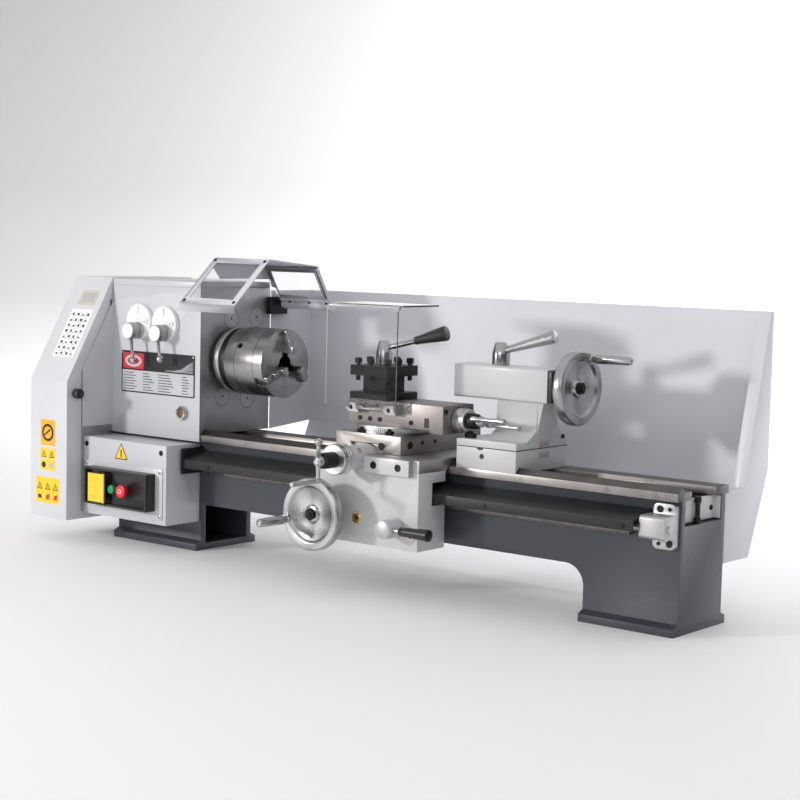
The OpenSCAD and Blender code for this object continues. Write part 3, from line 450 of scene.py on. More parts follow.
def softened(name, mats, bevel=0.8, rule=None, angle=32, bevelAngle=28, segments=2, dissolve=0.6):
    # the CAD shape with its edges broken, and a finish chosen face by face
    bm = bmesh.new()
    bm.from_mesh(nodes[name].data)
    bmesh.ops.remove_doubles(bm, verts=bm.verts, dist=2e-6)
    bmesh.ops.dissolve_limit(bm, angle_limit=radians(dissolve), verts=bm.verts, edges=bm.edges)
    for face in bm.faces:
        centre = face.calc_center_median() / mm
        face.material_index = rule(centre, face.normal) if rule else 0
    return finishMesh(bm, name + ".worked", bodyOf[name], mats, bevel=bevel, angle=angle,
                      bevelAngle=bevelAngle,
                      segments=segments, slot=slotOf[name], replaces=[name])


bodyOf = {n: b for b, members in frame["record"]["behaviour"]["bodies"].items() for n in members}
slotOf = {s["node"]: s["material_slot"] for s in frame["record"]["subparts"]}


# bed, ways and rack
def bedRule(centre, normal):
    if centre.z < 207.5 or abs(normal.x) > 0.7:
        return 0
    # top faces of the ways take the darker copy of the steel, a painted reflection; the other way faces take the
    # lighter one
    return 2 if normal.z > 0.3 else 1


softened("bed", ["bedPaint", "groundWay", "wayTopPaintedReflection"], 1.4, bedRule)
softened("gear_rack", ["rackSteel"], 0.0)
softened("leadscrew_cover", ["blackPaint"], 0.3)
softened("leadscrew_brackets", ["blackPaint", "machinedFace"], 1.0, lambda c, n: 1 if c.x > 0 else 0)
if "bed_end_plate" in nodes:
    softened("bed_end_plate", ["whitePaint"], 0.6)
softened("bed_stop_bolt", ["blackOxide"], 0.6)


def leadscrewThread():
    screw = {"radius": 8.0, "depth": 1.4, "pitch": 3.0, "left": -395.0, "right": 583.0}
    bm = bmesh.new()
    bm.from_mesh(nodes["leadscrew"].data)
    bmesh.ops.scale(bm, vec=(1000, 1000, 1000), verts=bm.verts)
    lo, hi = [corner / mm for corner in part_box("leadscrew")]
    bm.clear()
    profile = [(0, lo.x), (screw["radius"] - 0.6, lo.x), (screw["radius"], lo.x + 0.6), (screw["radius"],
        screw["left"])]
    x = screw["left"]
    while x < screw["right"]:
        profile += [(screw["radius"] - screw["depth"], x + 0.7), (screw["radius"] - screw["depth"], x + 1.4),
                    (screw["radius"], x + 2.1), (screw["radius"], x + screw["pitch"])]
        x += screw["pitch"]
    profile += [(screw["radius"], hi.x - 0.6), (screw["radius"] - 0.6, hi.x), (0, hi.x)]
    addLathe(bm, profile, pointing((0, (lo.y + hi.y) / 2, (lo.z + hi.z) / 2), (1, 0, 0)), 20)
    finishPiece(bm, "leadscrewThreaded", "leadscrew", ["steel"], slot=slotOf["leadscrew"],
        replaces=["leadscrew"])


leadscrewThread()


def bedFittings():
    bm = bmesh.new()
    for x in (-330, -60, 300, 560):      # cover screws on the bed side
        addPanHead(bm, (x, -121.2, 170), (0, -1, 0), 3.6, 1.6)
    for x, z, r in ((599.5, 195.5, 5.5), (616.5, 196, 3), (598.5, 142, 3), (617.5, 143, 5.5)):
        addSocketHead(bm, (x, -79, z), (0, -1, 0), r, 1.6)
    addSocketHead(bm, (617.8, 44, 187), (1, 0, 0), 4.4, 1.6)
    finishPiece(bm, "coverScrews", "base", ["blackOxide", "blackInk"], slot="black_oxide")


bedFittings()
print("bed built")


# headstock
def headRule(centre, normal):
    return 1 if (normal.x > 0.9 and centre.x > -400) or centre.z < 222.5 else 0


softened("headstock_casting", ["greyPaint", "machinedFace"], 1.6, headRule)
softened("headstock_cover", ["greyPaint", "machinedFace"], 1.2, headRule)
softened("spindle_bearings", ["steel"], 0.4)


def headPlugs():
    plugs = {"radius": 20.0, "places": ((-2, 438), (66, 439), (-23, 291), (44, 284))}
    bm = bmesh.new()
    r = plugs["radius"]
    for y, z in plugs["places"]:
        addLathe(bm, [(0, 0), (r, 0), (r, 0.25), (r - 0.8, 0.35), (r - 0.9, 0.12), (r - 1.7, 0.12), (r - 1.9,
                      0.4),
                      (2.4, 0.4), (2.3, 0.1), (0, 0.1)], pointing((-392, y, z), (1, 0, 0)), 56)
        addLathe(bm, [(2.2, 0.05), (2.2, 0.45), (0, 0.55)], pointing((-392, y, z), (1, 0, 0)), 16, 1)
        for face in bm.faces:
            c = face.calc_center_median()
            d = sqrt((c.y - y) ** 2 + (c.z - z) ** 2)
            if r - 1.75 < d < r - 0.8:
                face.material_index = 1
    finishPiece(bm, "headPlugs", "base", ["machinedFace", "blackInk"], slot="ground_iron")


headPlugs()


def digit(text, size, place, bm, slot):
    curve = bpy.data.curves.new("digit", "FONT")
    curve.body = text
    curve.size = size
    curve.extrude = 0.1
    curve.align_x = "CENTER"
    curve.align_y = "CENTER"
    obj = bpy.data.objects.new("digit", curve)
    bpy.context.scene.collection.objects.link(obj)
    graph = bpy.context.evaluated_depsgraph_get()
    mesh = bpy.data.meshes.new_from_object(obj.evaluated_get(graph))
    bpy.data.objects.remove(obj)
    piece = bmesh.new()
    piece.from_mesh(mesh)
    bmesh.ops.transform(piece, matrix=place, verts=piece.verts)
    for face in piece.faces:
        face.material_index = slot
    piece.to_mesh(mesh)
    piece.free()
    bm.from_mesh(mesh)


def speedDials():
    dial = {"radius": 33.5, "depth": 9.0, "front": -83.0, "places": ((-553, 427, "12"), (-483, 425, "23"))}
    bm = bmesh.new()
    r, d = dial["radius"], dial["depth"]
    for x, z, marks in dial["places"]:
        place = pointing((x, dial["front"], z), (0, -1, 0))
        addLathe(bm, [(0, 0), (r, 0), (r, d - 1.2), (r - 1.2, d), (r - 3, d), (r - 3.3, d - 0.25), (0,
                 d - 0.25)],
                 place, 72)
        for k, mark in enumerate(marks):
            a = radians(90 - 90 * k)
            spot = (x + 25.5 * cos(a), dial["front"] - d + 0.2, z + 25.5 * sin(a) - (0 if k else 0.5))
            digit(mark, 11, Matrix.Translation(spot) @ Matrix.Rotation(pi / 2, 4, "X"), bm, 1)
            inner = (x + 17.5 * cos(a), dial["front"] - d + 0.3, z + 17.5 * sin(a))
            addLathe(bm, [(0, 0), (1.2, 0), (1.2, 0.25), (0, 0.3)], pointing(inner, (0, -1, 0)), 12, 1)
    finishPiece(bm, "dialPlates", "base", ["whiteInk", "blackInk"], slot=slotOf["speed_dials"],
                replaces=["speed_dials"])


speedDials()


def speedLever(nodeName, x, z, dx, dz, label):
    base = -92.1
    bm = bmesh.new()
    axis = pointing((x, base, z), (0, -1, 0))
    addLathe(bm, [(0, 0), (16, 0), (16, 1), (13.6, 3.0), (13.6, 6), (15.4, 8), (16, 9), (16, 26.6), (15.4,
                  27.4),
                  (14.6, 27.6), (0, 27.6)], axis, 56, 0, fluted(36, 0.25, 5, 7))
    addLathe(bm, [(14.4, 27.5), (14.4, 27.9), (13.8, 28), (0, 28)], axis, 48, 1)
    y = base - 19.5
    end = Vector((x + dx, y, z + dz))
    start = Vector((x, y, z))
    along = (end - start).normalized()
    addTube(bm, [start + along * 14, start + along * 20, start + (end - start) * 0.6, end - along * 5],
            [4.0, 3.6, 3.0, 3.2], 20, 2)
    addLathe(bm, ballProfile(7, 0, 14), pointing(end - along * 7, along), 28, 2)
    digit(label, 9, Matrix.Translation((x, base - 27.85, z + 5)) @ Matrix.Rotation(pi / 2, 4, "X"), bm, 3)
    finishPiece(bm, nodeName + ".turned", bodyOf[nodeName], ["hubSteel", "whiteInk", "chrome", "greyInk"],
                slot=slotOf[nodeName], replaces=[nodeName])


speedLever("speed_lever_left", -553, 409.5, 9, -57, "A")
speedLever("speed_lever_right", -479, 408, 9, -48, "B")


def plate():
    p = {"left": -607.0, "right": -405.5, "low": 289.0, "high": 369.0, "face": -84.0}
    x0, x1, z0, z1, f = p["left"], p["right"], p["low"], p["high"], p["face"]
    bm = bmesh.new()
    addRoundBox(bm, (x0, f, z0), (x1, f + 1, z1), 2.5, 1, 0)
    addRoundBox(bm, (x0 + 2.5, f - 0.12, z0 + 2.5), (x1 - 2.5, f + 0.1, z0 + 43), 1.2, 1, 1)      # light table
    addRoundBox(bm, (x0 + 5, f - 0.16, z0 + 46), (x0 + 62, f + 0.1, z1 - 4), 1.5, 1, 2)           # red field
    ring = [(x0 + 33.5 + 23 * cos(t * pi / 20), z0 + 61 + 11.5 * sin(t * pi / 20)) for t in range(40)]
    addPrism(bm, ring, 1, f - 0.24, f + 0.05, 1)
    core = [(x0 + 33.5 + 17 * cos(t * pi / 20), z0 + 61 + 7 * sin(t * pi / 20)) for t in range(40)]
    addPrism(bm, core, 1, f - 0.3, f, 2)
    addPrism(bm, [(x0 + 27, z0 + 57.5), (x0 + 40, z0 + 57.5), (x0 + 37, z0 + 64.5), (x0 + 30, z0 + 64.5)], 1,
             f - 0.36, f, 1)
    for k in range(9):                    # stripes that fade toward the corner
        left = x0 + 122 + k * 5
        addPrism(bm, [(left, z0 + 46 + k * 0.5), (x1 - 4, z0 + 46 + k * 2.6), (x1 - 4, z0 + 47.1 + k * 2.6),
                      (left, z0 + 47.1 + k * 0.5)], 1, f - 0.14, f, 3)
    for k in range(7):                    # rows of the data table
        z = z0 + 37 - k * 5.2
        for left, long in ((x0 + 8, 26 + (k * 7) % 13), (x0 + 60, 16 + (k * 5) % 17), (x0 + 103,
                           30 + (k * 3) % 14),
                           (x0 + 168, 12 + (k * 4) % 9)):
            addBox(bm, (left, f - 0.16, z), (left + long, f, z + 1.5), None, 4)
    for x in (x0 + 4, x1 - 4):
        for z in (z0 + 4, z1 - 4):
            addLathe(bm, [(0, 0), (1.8, 0), (1.5, 0.5), (0, 0.8)], pointing((x, f, z), (0, -1, 0)), 14, 5)
    finishPiece(bm, "dataPlate", "base", ["blackInk", "plateInk", "redInk", "greyInk", "darkInk", "steel"],
                slot=slotOf["nameplate"], replaces=["nameplate"])


plate()


def oilSight():
    bm = bmesh.new()
    place = pointing((-436, -83, 259), (0, -1, 0), 12)
    addLathe(bm, [(0, 0), (13, 0), (13, 1.0), (12.2, 1.6), (12.6, 2.2), (12.6, 6.4), (11.8, 7.6), (8.6, 8),
                  (7.9, 7.2),
                  (7.6, 4.5), (0, 4.5)], place, 48, 0, hexFrom(3, 6))
    addLathe(bm, [(7.5, 4.4), (7.5, 4.9), (6, 5.6), (3, 6.0), (0, 6.1)], place, 32, 1)
    finishPiece(bm, "oilSight", "base", ["chrome", "oilGlass"], slot=slotOf["oil_sight_glass"],
                replaces=["oil_sight_glass"])


oilSight()


# gear cover, its labels and knob
softened("gear_cover", ["coverPaint"], 2.2, segments=3)


def coverLabels():
    up = (Vector((0, -83, 508)) - Vector((0, -196, 310))).normalized()
    out = Vector((0, -198, 113)).normalized()
    slope = Matrix.Translation((-742, -196, 310)) @ Matrix(((1, 0, 0, 0), (0, up.y, -out.y, 0), (0, up.z,
                                                            -out.z, 0),
                                                            (0, 0, 0, 1)))
    bm = bmesh.new()
    addRoundBoxOn(bm, slope, 32, 51, 92, 155, 0)            # gear table
    for k in range(8):
        addBox(bm, (34, 53 + k * 12.6, -0.42), (90, 53.4 + k * 12.6, -0.1), slope, 1)
        for c in range(4):
            if k < 8:
                high = 5.4 if (k + c) % 3 else 3.2
                addBox(bm, (38 + c * 14, 56 + k * 12.2, -0.42), (44 + c * 14 - (k + c) % 2,
                       56 + k * 12.2 + high, -0.1),
                       slope, 1)
    for c in range(3):
        addBox(bm, (47 + c * 14, 53, -0.42), (47.4 + c * 14, 153, -0.1), slope, 1)
    addRoundBoxOn(bm, slope, 38, 165, 88, 198, 2)           # striped paper tag
    for k in range(17):
        addBox(bm, (47 + k * 2.1, 170, -0.42), (47.9 + k * 2.1 + (k % 3) * 0.25, 192, -0.1), slope, 3)
    finishPiece(bm, "coverTables", "gear_cover", ["whiteInk", "blackInk", "paperInk", "greyInk"],
        slot="label")

    front = Matrix.Translation((-742, -196, 43)) @ Matrix.Rotation(pi / 2, 4, "X") @ Matrix.Diagonal((1, 1,
        -1, 1))
    bm = bmesh.new()
    addRoundBoxOn(bm, front, 30, 140, 72, 190, 0)           # generic round sign
    disc = [(51 + 17 * cos(t * pi / 18), 165 + 17 * sin(t * pi / 18)) for t in range(36)]
    addPrism(bm, disc, 2, -0.42, -0.1, 1, front)
    disc = [(51 + 12 * cos(t * pi / 18), 165 + 12 * sin(t * pi / 18)) for t in range(36)]
    addPrism(bm, disc, 2, -0.5, -0.2, 0, front)
    addPrism(bm, [(42, 158), (60, 170), (58, 173), (40, 161)], 2, -0.56, -0.2, 1, front)
    for row in range(2):
        for c in range(2):
            left, low = 29 + c * 23, 92 + row * 22
            addRoundBoxOn(bm, front, left, low, left + 21, low + 20.5, 2)
            if row:
                sign(bm, front, left + 10.5, low + 3, 15)
            else:
                dot = [(left + 10.5 + 6 * cos(t * pi / 8), low + 10 + 6 * sin(t * pi / 8)) for t in range(16)]
                addPrism(bm, dot, 2, -0.42, -0.1, 1 if c == 0 else 3, front)
    for c in range(3):
        left = 17 + c * 23
        addRoundBoxOn(bm, front, left, 28, left + 22, 78, 2)
        sign(bm, front, left + 11, 54, 16)
        if c:
            addPrism(bm, [(left + 5, 35), (left + 15, 35), (left + 18, 46), (left + 8, 44)], 2, -0.42, -0.1,
                4, front)
        else:
            addPrism(bm, [(left + 6, 36), (left + 17, 36), (left + 15, 43), (left + 6, 43)], 2, -0.42, -0.1,
                1, front)
    finishPiece(bm, "coverSigns", "gear_cover", ["orangeInk", "blackInk", "yellowInk", "greyInk", "redInk"],
                slot="label")


def addRoundBoxOn(bm, place, x0, y0, x1, y1, slot, lift=0.3, r=1.5):
    outline = []
    for cx, cy, start in ((x1 - r, y1 - r, 0), (x0 + r, y1 - r, 90), (x0 + r, y0 + r, 180), (x1 - r, y0 + r,
        270)):
        for k in range(4):
            t = radians(start + 30 * k)
            outline.append((cx + r * cos(t), cy + r * sin(t)))
    addPrism(bm, outline, 2, -lift, 0.05, slot, place)


def sign(bm, place, x, y, size):
    # a small triangle with a plain mark in it
    high = size * 0.87
    addPrism(bm, [(x - size / 2, y), (x + size / 2, y), (x, y + high)], 2, -0.42, -0.1, 1, place)
    s = 0.66
    low = y + high * 0.12
    addPrism(bm, [(x - size / 2 * s, low), (x + size / 2 * s, low), (x, low + high * s)], 2, -0.5, -0.2, 2,
        place)
    addPrism(bm, [(x - size * 0.05, y + high * 0.2), (x + size * 0.05, y + high * 0.2), (x + size * 0.05,
                  y + high * 0.55),
                  (x - size * 0.05, y + high * 0.55)], 2, -0.56, -0.2, 1, place)


coverLabels()


def coverHinges():
    bm = bmesh.new()
    for z in (455, 392, 320):
        addTube(bm, [(-634.6, -88, z - 10), (-634.6, -88, z + 10)], 1.1, 12, 0)
    finishPiece(bm, "coverClips", "base", ["darkInk"], slot="black_plastic")
    bm = bmesh.new()
    knob = pointing((-632, -178, 287), (1, 0, 0))
    addLathe(bm, [(0, -3.9), (4.6, -3.9), (4.9, 0), (8.8, 0), (10, 1.6), (10, 11.5), (9, 14.6), (6, 15.8),
             (0, 16)],
             knob, 60, 0, fluted(15, 0.7, 4, 5))
    finishPiece(bm, "knobTurned", "cover_knob", ["blackPlastic"], slot=slotOf["gear_cover_knob"],
                replaces=["gear_cover_knob"])


coverHinges()
print("headstock and gear cover built")


# electrical box and switch
softened("electrical_box", ["greyPaint"], 2.0, segments=3)
softened("switch_plate", ["greyPaint"], 0.7)
softened("switch_housing", ["blackPlastic"], 2.2, segments=3)


def switchParts():
    f = -154.0
    bm = bmesh.new()
    for x in (-624, -419):
        for z in (71, 154):
            addPanHead(bm, (x, f - 2, z), (0, -1, 0), 3.6, 2)
    for x in (-626, -419):
        addSocketHead(bm, (x, f, 190), (0, -1, 0), 5, 1.2, 2)
    finishPiece(bm, "boxScrews", "base", ["steel", "blackInk", "blackOxide"], slot="steel")
    front = Matrix.Translation((-634, f, 55)) @ Matrix.Rotation(pi / 2, 4, "X") @ Matrix.Diagonal((1, 1, -1,
        1))
    bm = bmesh.new()
    addPrism(bm, [(88, 113), (124, 113), (106, 144)], 2, -0.3, 0.05, 0, front)
    addPrism(bm, [(91, 114.8), (121, 114.8), (106, 140.6)], 2, -0.4, -0.1, 1, front)
    addPrism(bm, [(104.6, 117), (107.4, 117), (107.8, 131), (104.2, 131)], 2, -0.5, -0.1, 0, front)
    finishPiece(bm, "boxSign", "base", ["blackInk", "yellowInk"], slot="label")

    bm = bmesh.new()
    start = pointing((-529.5, f - 12, 113), (0, -1, 0))
    addLathe(bm, [(0, 0), (6, 0), (6, 5), (8, 5), (8, 12.6), (7.3, 13.6), (6, 14), (0, 14)], start, 40)
    addPrism(bm, [(-530.1, 109.5), (-528.9, 109.5), (-528.9, 116.5), (-530.1, 116.5)], 1, f - 26, f - 25.8, 1)
    finishPiece(bm, "startTurned", "start_button", ["greenPlastic", "whiteInk"], slot=slotOf["start_button"],
                replaces=["start_button"])
    bm = bmesh.new()
    stop = pointing((-497, f - 12, 113), (0, -1, 0))
    addLathe(bm, [(0, 0), (6, 0), (6, 9), (7, 10), (11.6, 10.8), (12.5, 12.4), (12.5, 16.4), (11.4, 18.6),
                  (8, 19.6),
                  (4, 19.9), (0, 20)], stop, 48)
    ring = [(4.2, 19.75), (4.2, 20), (3.1, 20), (3.1, 19.8)]
    addLathe(bm, ring, stop, 28, 1)
    finishPiece(bm, "stopTurned", "stop_button", ["redPlastic", "whiteInk"], slot=slotOf["stop_button"],
                replaces=["stop_button"])
    softened("switch_flap", ["yellowPlastic"], 0.7)
    bm = bmesh.new()
    for z in (97, 104, 111, 118, 125):
        addBox(bm, (-584, f - 30.6, z), (-560, f - 29.9, z + 1.6))
    finishPiece(bm, "flapRibs", "switch_flap", ["yellowPlastic"], slot="yellow_plastic", bevel=0.25)


switchParts()
print("switch box built")


# spindle and chuck
softened("spindle", ["spindleSteel"], 0.8)
softened("spindle_gear", ["steel"], 0.0)
for name in ("leadscrew_gear", "idler_gear_upper", "idler_gear_lower"):
    softened(name, ["steel"], 0.0)
softened("gear_arm", ["darkIron"], 0.8)


def chuckRule(centre, normal):
    d = sqrt(centre.y ** 2 + (centre.z - 360.5) ** 2)
    # slot and socket walls inside the body take the black oxide: painted shade in these recesses
    if abs(normal.x) < 0.3 and d < 60:
        return 1                           # slots and sockets
    return 0


def chuck():
    softened("chuck_back_plate", ["blackOxide"], 1.2)
    softened("chuck_body", ["chuckSteel", "blackOxide"], 1.8, chuckRule, segments=3)
    chuck = {"left": -350.0, "right": -254.0, "radius": 63.8, "middle": 360.5}
    bm = bmesh.new()
    axis = pointing((0, 0, chuck["middle"]), (1, 0, 0))
    left, right, r = chuck["left"], chuck["right"], chuck["radius"]
    # bright mounting flange behind the black plate
    addLathe(bm, [(58, left - 21.5), (62.4, left - 21.5), (63, left - 20.8), (63, left - 16.4), (62,
                  left - 15.6),
                  (58, left - 15.6), (58, left - 21.5)], axis, 96, 0)
    finishPiece(bm, "chuckFlange", "spindle", ["spindleSteel"], slot="steel")
    bm = bmesh.new()
    for x in (left + 26, right - 23):        # fine turned grooves, the front one behind the jaw slots
        # each groove is drawn as a thin black band standing a hair proud: painted shade in the groove
        addLathe(bm, [(r - 0.5, x - 0.5), (r + 0.08, x - 0.45), (r + 0.08, x + 0.45), (r - 0.5, x + 0.5),
                      (r - 0.5, x - 0.5)], axis, 96, 0)
    for a in (60, 180, 300):
        out = Vector((0, -sin(radians(a)), cos(radians(a))))
        key = Vector((right - 62, 0, chuck["middle"])) + out * (r - 1.9)
        place = pointing(key, out, 0)
        addLathe(bm, [(5.95, -5), (5.95, 1.0), (7.4, 1.0), (8.2, 0.4), (8.2, -5)], place, 40, 1)
        # the black ink cup stands for the inside of the key socket: painted shade in the hole
        addLathe(bm, [(0, -8), (5.9, -8), (5.9, -0.6), (3.6, -0.6), (3.6, -7), (0, -7)], place, 32, 2)
    finishPiece(bm, "chuckRings", "spindle", ["blackOxide", "chuckSteel", "blackInk"], slot="steel")
    bm = bmesh.new()
    for k, a in enumerate((0, 120, 240)):    # serrated jaw steps
        turn = Matrix.Translation((0, 0, 360.5)) @ Matrix.Rotation(radians(a), 4, "X")
        # thin black-ink strips on each jaw's sides: painted shade at the serrated jaw steps
        for step in range(4):
            z = 20 + 41 - 2.4 - step * 2.0
            addBox(bm, (right - 2 + 0.5, -7.15, z), (right + 8.7, -6.9, z + 0.9), turn, 0)
            addBox(bm, (right - 2 + 0.5, 6.9, z), (right + 8.7, 7.15, z + 0.9), turn, 0)
        finishPiece(bm, "jawStepShade%d" % (k + 1), "jaw_%d" % (k + 1), ["blackInk"], slot="steel")
        bm = bmesh.new()
        softened("chuck_jaw_%d" % (k + 1), ["chuckSteel"], 0.9)
    bm.free()


chuck()


# chuck guard
softened("chuck_guard_frame", ["guardPaint"], 0.5)
softened("chuck_guard_windows", ["window"], 0.0)
softened("guard_hinge_block", ["blackPlastic"], 1.5)


def guardScrews():
    line = [(-139, 470), (-50, 553), (82, 541), (123, 472)]
    x0, x1 = -390.0, -250.0
    bm = bmesh.new()
    for i in (0, 2):
        p, q = Vector((0, *line[i])), Vector((0, *line[i + 1]))
        along = (q - p).normalized()
        out = Vector((0, -along.z, along.y))
        for x in (x0 + 7, x1 - 7):
            for t in (7, (q - p).length - 7):
                addPanHead(bm, Vector((x, 0, 0)) + p + along * t, out, 3.4, 1.6)
    for x in (-356, -306, -262):
        out = Vector((0, -0.8, 0.6)).normalized()
        addPanHead(bm, Vector((x, 129, 465)) + out * 8.7, out, 3.6, 1.4)
    finishPiece(bm, "guardScrews", "chuck_guard", ["blackOxide", "blackInk"], slot="black_plastic")


guardScrews()
softened("splash_guard", ["guardPaint"], 0.5)
softened("splash_brackets", ["blackPaint"], 0.8)
print("chuck and guards built")


# carriage: saddle, apron and their handles
softened("saddle", ["whitePaint", "machinedFace"], 1.2,
         lambda c, n: 0 if c.y < -110 and c.x < 176 else 1)
softened("apron", ["whitePaint"], 2.4, segments=3)
softened("apron_pinion", ["steel"], 0.0)


def carriageParts():
    bm = bmesh.new()
    addLathe(bm, [(0, 0), (4.2, 0), (4.2, 1.4), (2.6, 2.2), (1.6, 2.2), (1.4, 1.2), (0, 1.2)],
             pointing((72, -168, 242), (0.55, -0.25, 0.8)), 24, 0)
    addLathe(bm, [(0, 0), (10, 0), (10, 1.2), (8.4, 2.4), (8, 1.4), (7.2, 1.4), (6.4, 2.0), (0, 2.3)],
             pointing((65, -160, 127), (0, -1, 0)), 40, 0)
    addLathe(bm, [(0, 2.2), (3.0, 2.2), (2.6, 3.2), (0, 3.6)], pointing((65, -160, 127), (0, -1, 0)), 24, 1)
    finishPiece(bm, "oilerAndSight", "carriage", ["brass", "blackInk"], slot="steel")
    bm = bmesh.new()
    for x in (108, 160):
        addSocketHead(bm, (x, -172, 221.5), (0, -1, 0), 6.2, 1.5)
    finishPiece(bm, "saddleScrews", "carriage", ["blackOxide"], slot="black_oxide")
    bm = bmesh.new()
    for y in (-60, 55):                        # way wipers at the saddle's right end
        addBox(bm, (195, y - 13, 221.6), (197.5, y + 13, 233))
        addPanHead(bm, (197.5, y, 228), (1, 0, 0), 3.2, 1.4, 1)
    finishPiece(bm, "wayWipers", "carriage", ["blackPlastic", "brass", "blackInk"], slot="black_plastic",
                bevel=0.3)
    bm = bmesh.new()
    addPrism(bm, [(180, 99), (190, 109), (180, 119), (170, 109)], 1, -160.5, -160, 0)
    addPrism(bm, [(180, 104), (185, 109), (180, 114), (175, 109)], 1, -160.7, -160.2, 1)
    for x, z in ((180, 101.6), (180, 116.4)):
        addLathe(bm, [(0, 0), (1.3, 0), (0.9, 0.5), (0, 0.7)], pointing((x, -160.5, z), (0, -1, 0)), 12, 2)
    finishPiece(bm, "leverPlate", "carriage", ["steel", "redInk", "brass"], slot="label")


carriageParts()


def gripOn(bm, spot, direction, length, slot, steps=36):
    addLathe(bm, [(0, 0), (6.2, 0), (6.6, 0.8), (6.6, 3.2), (5.4, 4.2), (5.2, 6), (6.4, 8.6), (7.8, 13), (8,
                  22),
                  (7.7, length * 0.5), (7.3, length - 8), (7, length - 4), (6.2, length - 1.6), (4.6,
                  length - 0.4),
                  (3.0, length - 0.2), (2.8, length - 1.4), (0, length - 1.4)], pointing(spot, direction),
                  steps, slot)


def apronWheel():
    bm = bmesh.new()
    place = Matrix.Translation((11.5, -186, 133)) @ Matrix.Rotation(pi / 2, 4, "X")
    spokes(bm, place, (-96, 0.4))
    a = radians(195)
    spot = place @ Vector((51.5 * cos(a), 51.5 * sin(a), 33.6))
    gripOn(bm, spot, (0, -1, 0), 72, 2)
    finishPiece(bm, "apronWheelTurned", bodyOf["apron_handwheel"], ["apronWheel", "blackOxide", "chrome"],
                slot=slotOf["apron_handwheel"], replaces=["apron_handwheel"], angle=24)


def spokes(bm, place, shaft):
    r = 61.5
    addLathe(bm, [(0, shaft[0]), (8, shaft[0]), (8, shaft[1]), (0, shaft[1])], place, 40, 1)
    addLathe(bm, [(0, 0), (13.2, 0), (14, 0.8), (14, 14.5), (13, 15.6), (0, 15.6)], place, 64, 1)
    addLathe(bm, [(0, 15), (13.9, 15), (16, 16.4), (r - 17, 23.6), (r - 13.2, 21), (r - 11.4, 17.2), (r - 9,
                  16),
                  (r - 3.4, 16), (r - 1, 17), (r, 19.4), (r, 30.6), (r - 0.9, 33), (r - 3, 34), (r - 11.2,
                  34),
                  (r - 13.2, 33.4), (r - 15.4, 31), (r - 17.2, 29.2), (36, 26.4), (20, 24.6), (16.5, 25),
                  (14.6, 26.6),
                  (13.4, 28.6), (10.2, 29.6), (0, 29.6)], place, 128, 0)
    addLathe(bm, [(0, 29.2), (9.9, 29.2), (9.9, 34.4), (9, 35.4), (5.2, 35.4), (5.2, 37.2), (4.4, 38), (0,
             38)], place,
             48, 1, hexFrom(1, 3))


apronWheel()


def halfNut():
    bm = bmesh.new()
    hub = pointing((150, -142, 121), (0, -1, 0))
    addLathe(bm, [(0, 0), (7, 0), (7, 18.2), (15, 18.2), (16, 19.2), (16, 54), (15, 55), (14, 55.4), (0,
             55.4)], hub, 96,
             0, fluted(24, 0.5, 5, 5))
    addLathe(bm, [(0, 55.2), (13.4, 55.2), (13.4, 55.7), (12.8, 56), (0, 56)], hub, 48, 1)
    addTube(bm, [(163, -186, 121), (180, -186, 121), (184, -186, 121)], 4, 24, 2)
    addLathe(bm, [(0, 0), (7.0, 0), (7.5, 0.8), (7.9, 10), (8.6, 30), (9.8, 54), (10, 57), (9.4, 59.4), (7.8,
                  60),
                  (0, 60)], pointing((180, -186, 121), (1, 0, 0)), 40, 3)
    finishPiece(bm, "halfNutTurned", "half_nut_lever", ["greyPaint", "machinedFace", "chrome",
                "blackPlastic"],
                slot=slotOf["half_nut_lever"], replaces=["half_nut_lever"])


halfNut()


# cross slide and its crank
softened("cross_slide", ["groundIron"], 1.0)


def crossSlideScrews():
    bm = bmesh.new()
    addHexHead(bm, (130, -104, 251), (1, 0, 0), 6.5, 2.6)
    for y in (-70, -35, 30, 70):
        addLathe(bm, [(0, 0), (3.6, 0), (3.4, 0.5), (0, 0.5)], pointing((130, y, 253), (1, 0, 0)), 20)
        # a raised black-ink hexagon stands for each hex socket: painted shade in the socket
        addLathe(bm, [(0, 0.4), (1.9, 0.4), (1.8, 0.7), (0, 0.7)], pointing((130, y, 253), (1, 0, 0)), 6, 1)
    addHexHead(bm, (88, -128, 247), (0, -1, 0), 7, 1.8)
    for place in ((95, -116, 267), (40, -126 + 3, 267)):
        addHexHead(bm, place, (0, 0, 1), 7.2, 5.6, 1 if False else 0, 3.4)
    finishPiece(bm, "crossSlideScrews", "cross_slide", ["blackOxide", "blackInk"], slot="black_oxide")


crossSlideScrews()


def crankParts(bm, place, bar, handle, ballFirst):
    # hub, waisted cross bar and turned handles, standing along +Z
    addLathe(bm, [(0, 0), (8.6, 0), (9, 0.6), (9, 8), (8, 10), (5.6, 11.6), (3, 12), (0, 12)], place, 40, 0)
    for s in (-1, 1):
        tip = place @ Vector((s * bar, 0, 6))
        addTube(bm, [place @ Vector((s * 5, 0, 6)), place @ Vector((s * (bar * 0.4), 0, 6)),
                     place @ Vector((s * (bar * 0.7), 0, 6)), tip], [4.6, 3.9, 3.4, 3.8], 22, 0)
        up = (place.to_3x3() @ Vector((0, 0, 1))).normalized()
        if ballFirst and s < 0:
            addLathe(bm, ballProfile(7, 0, 16), pointing(tip - up * 7, up), 32, 0)
        else:
            addLathe(bm, [(0, -5), (3.8, -5), (4.5, -4.2), (4.5, 4.2), (3.8, 5), (3.2, 5.4), (3, 7), (3.4,
                          10),
                          (3.9, 5 + handle * 0.5), (4.4, handle), (4.5, handle + 3), (3.8, handle + 4.6),
                          (0, handle + 5)], pointing(tip, up), 30, 0)


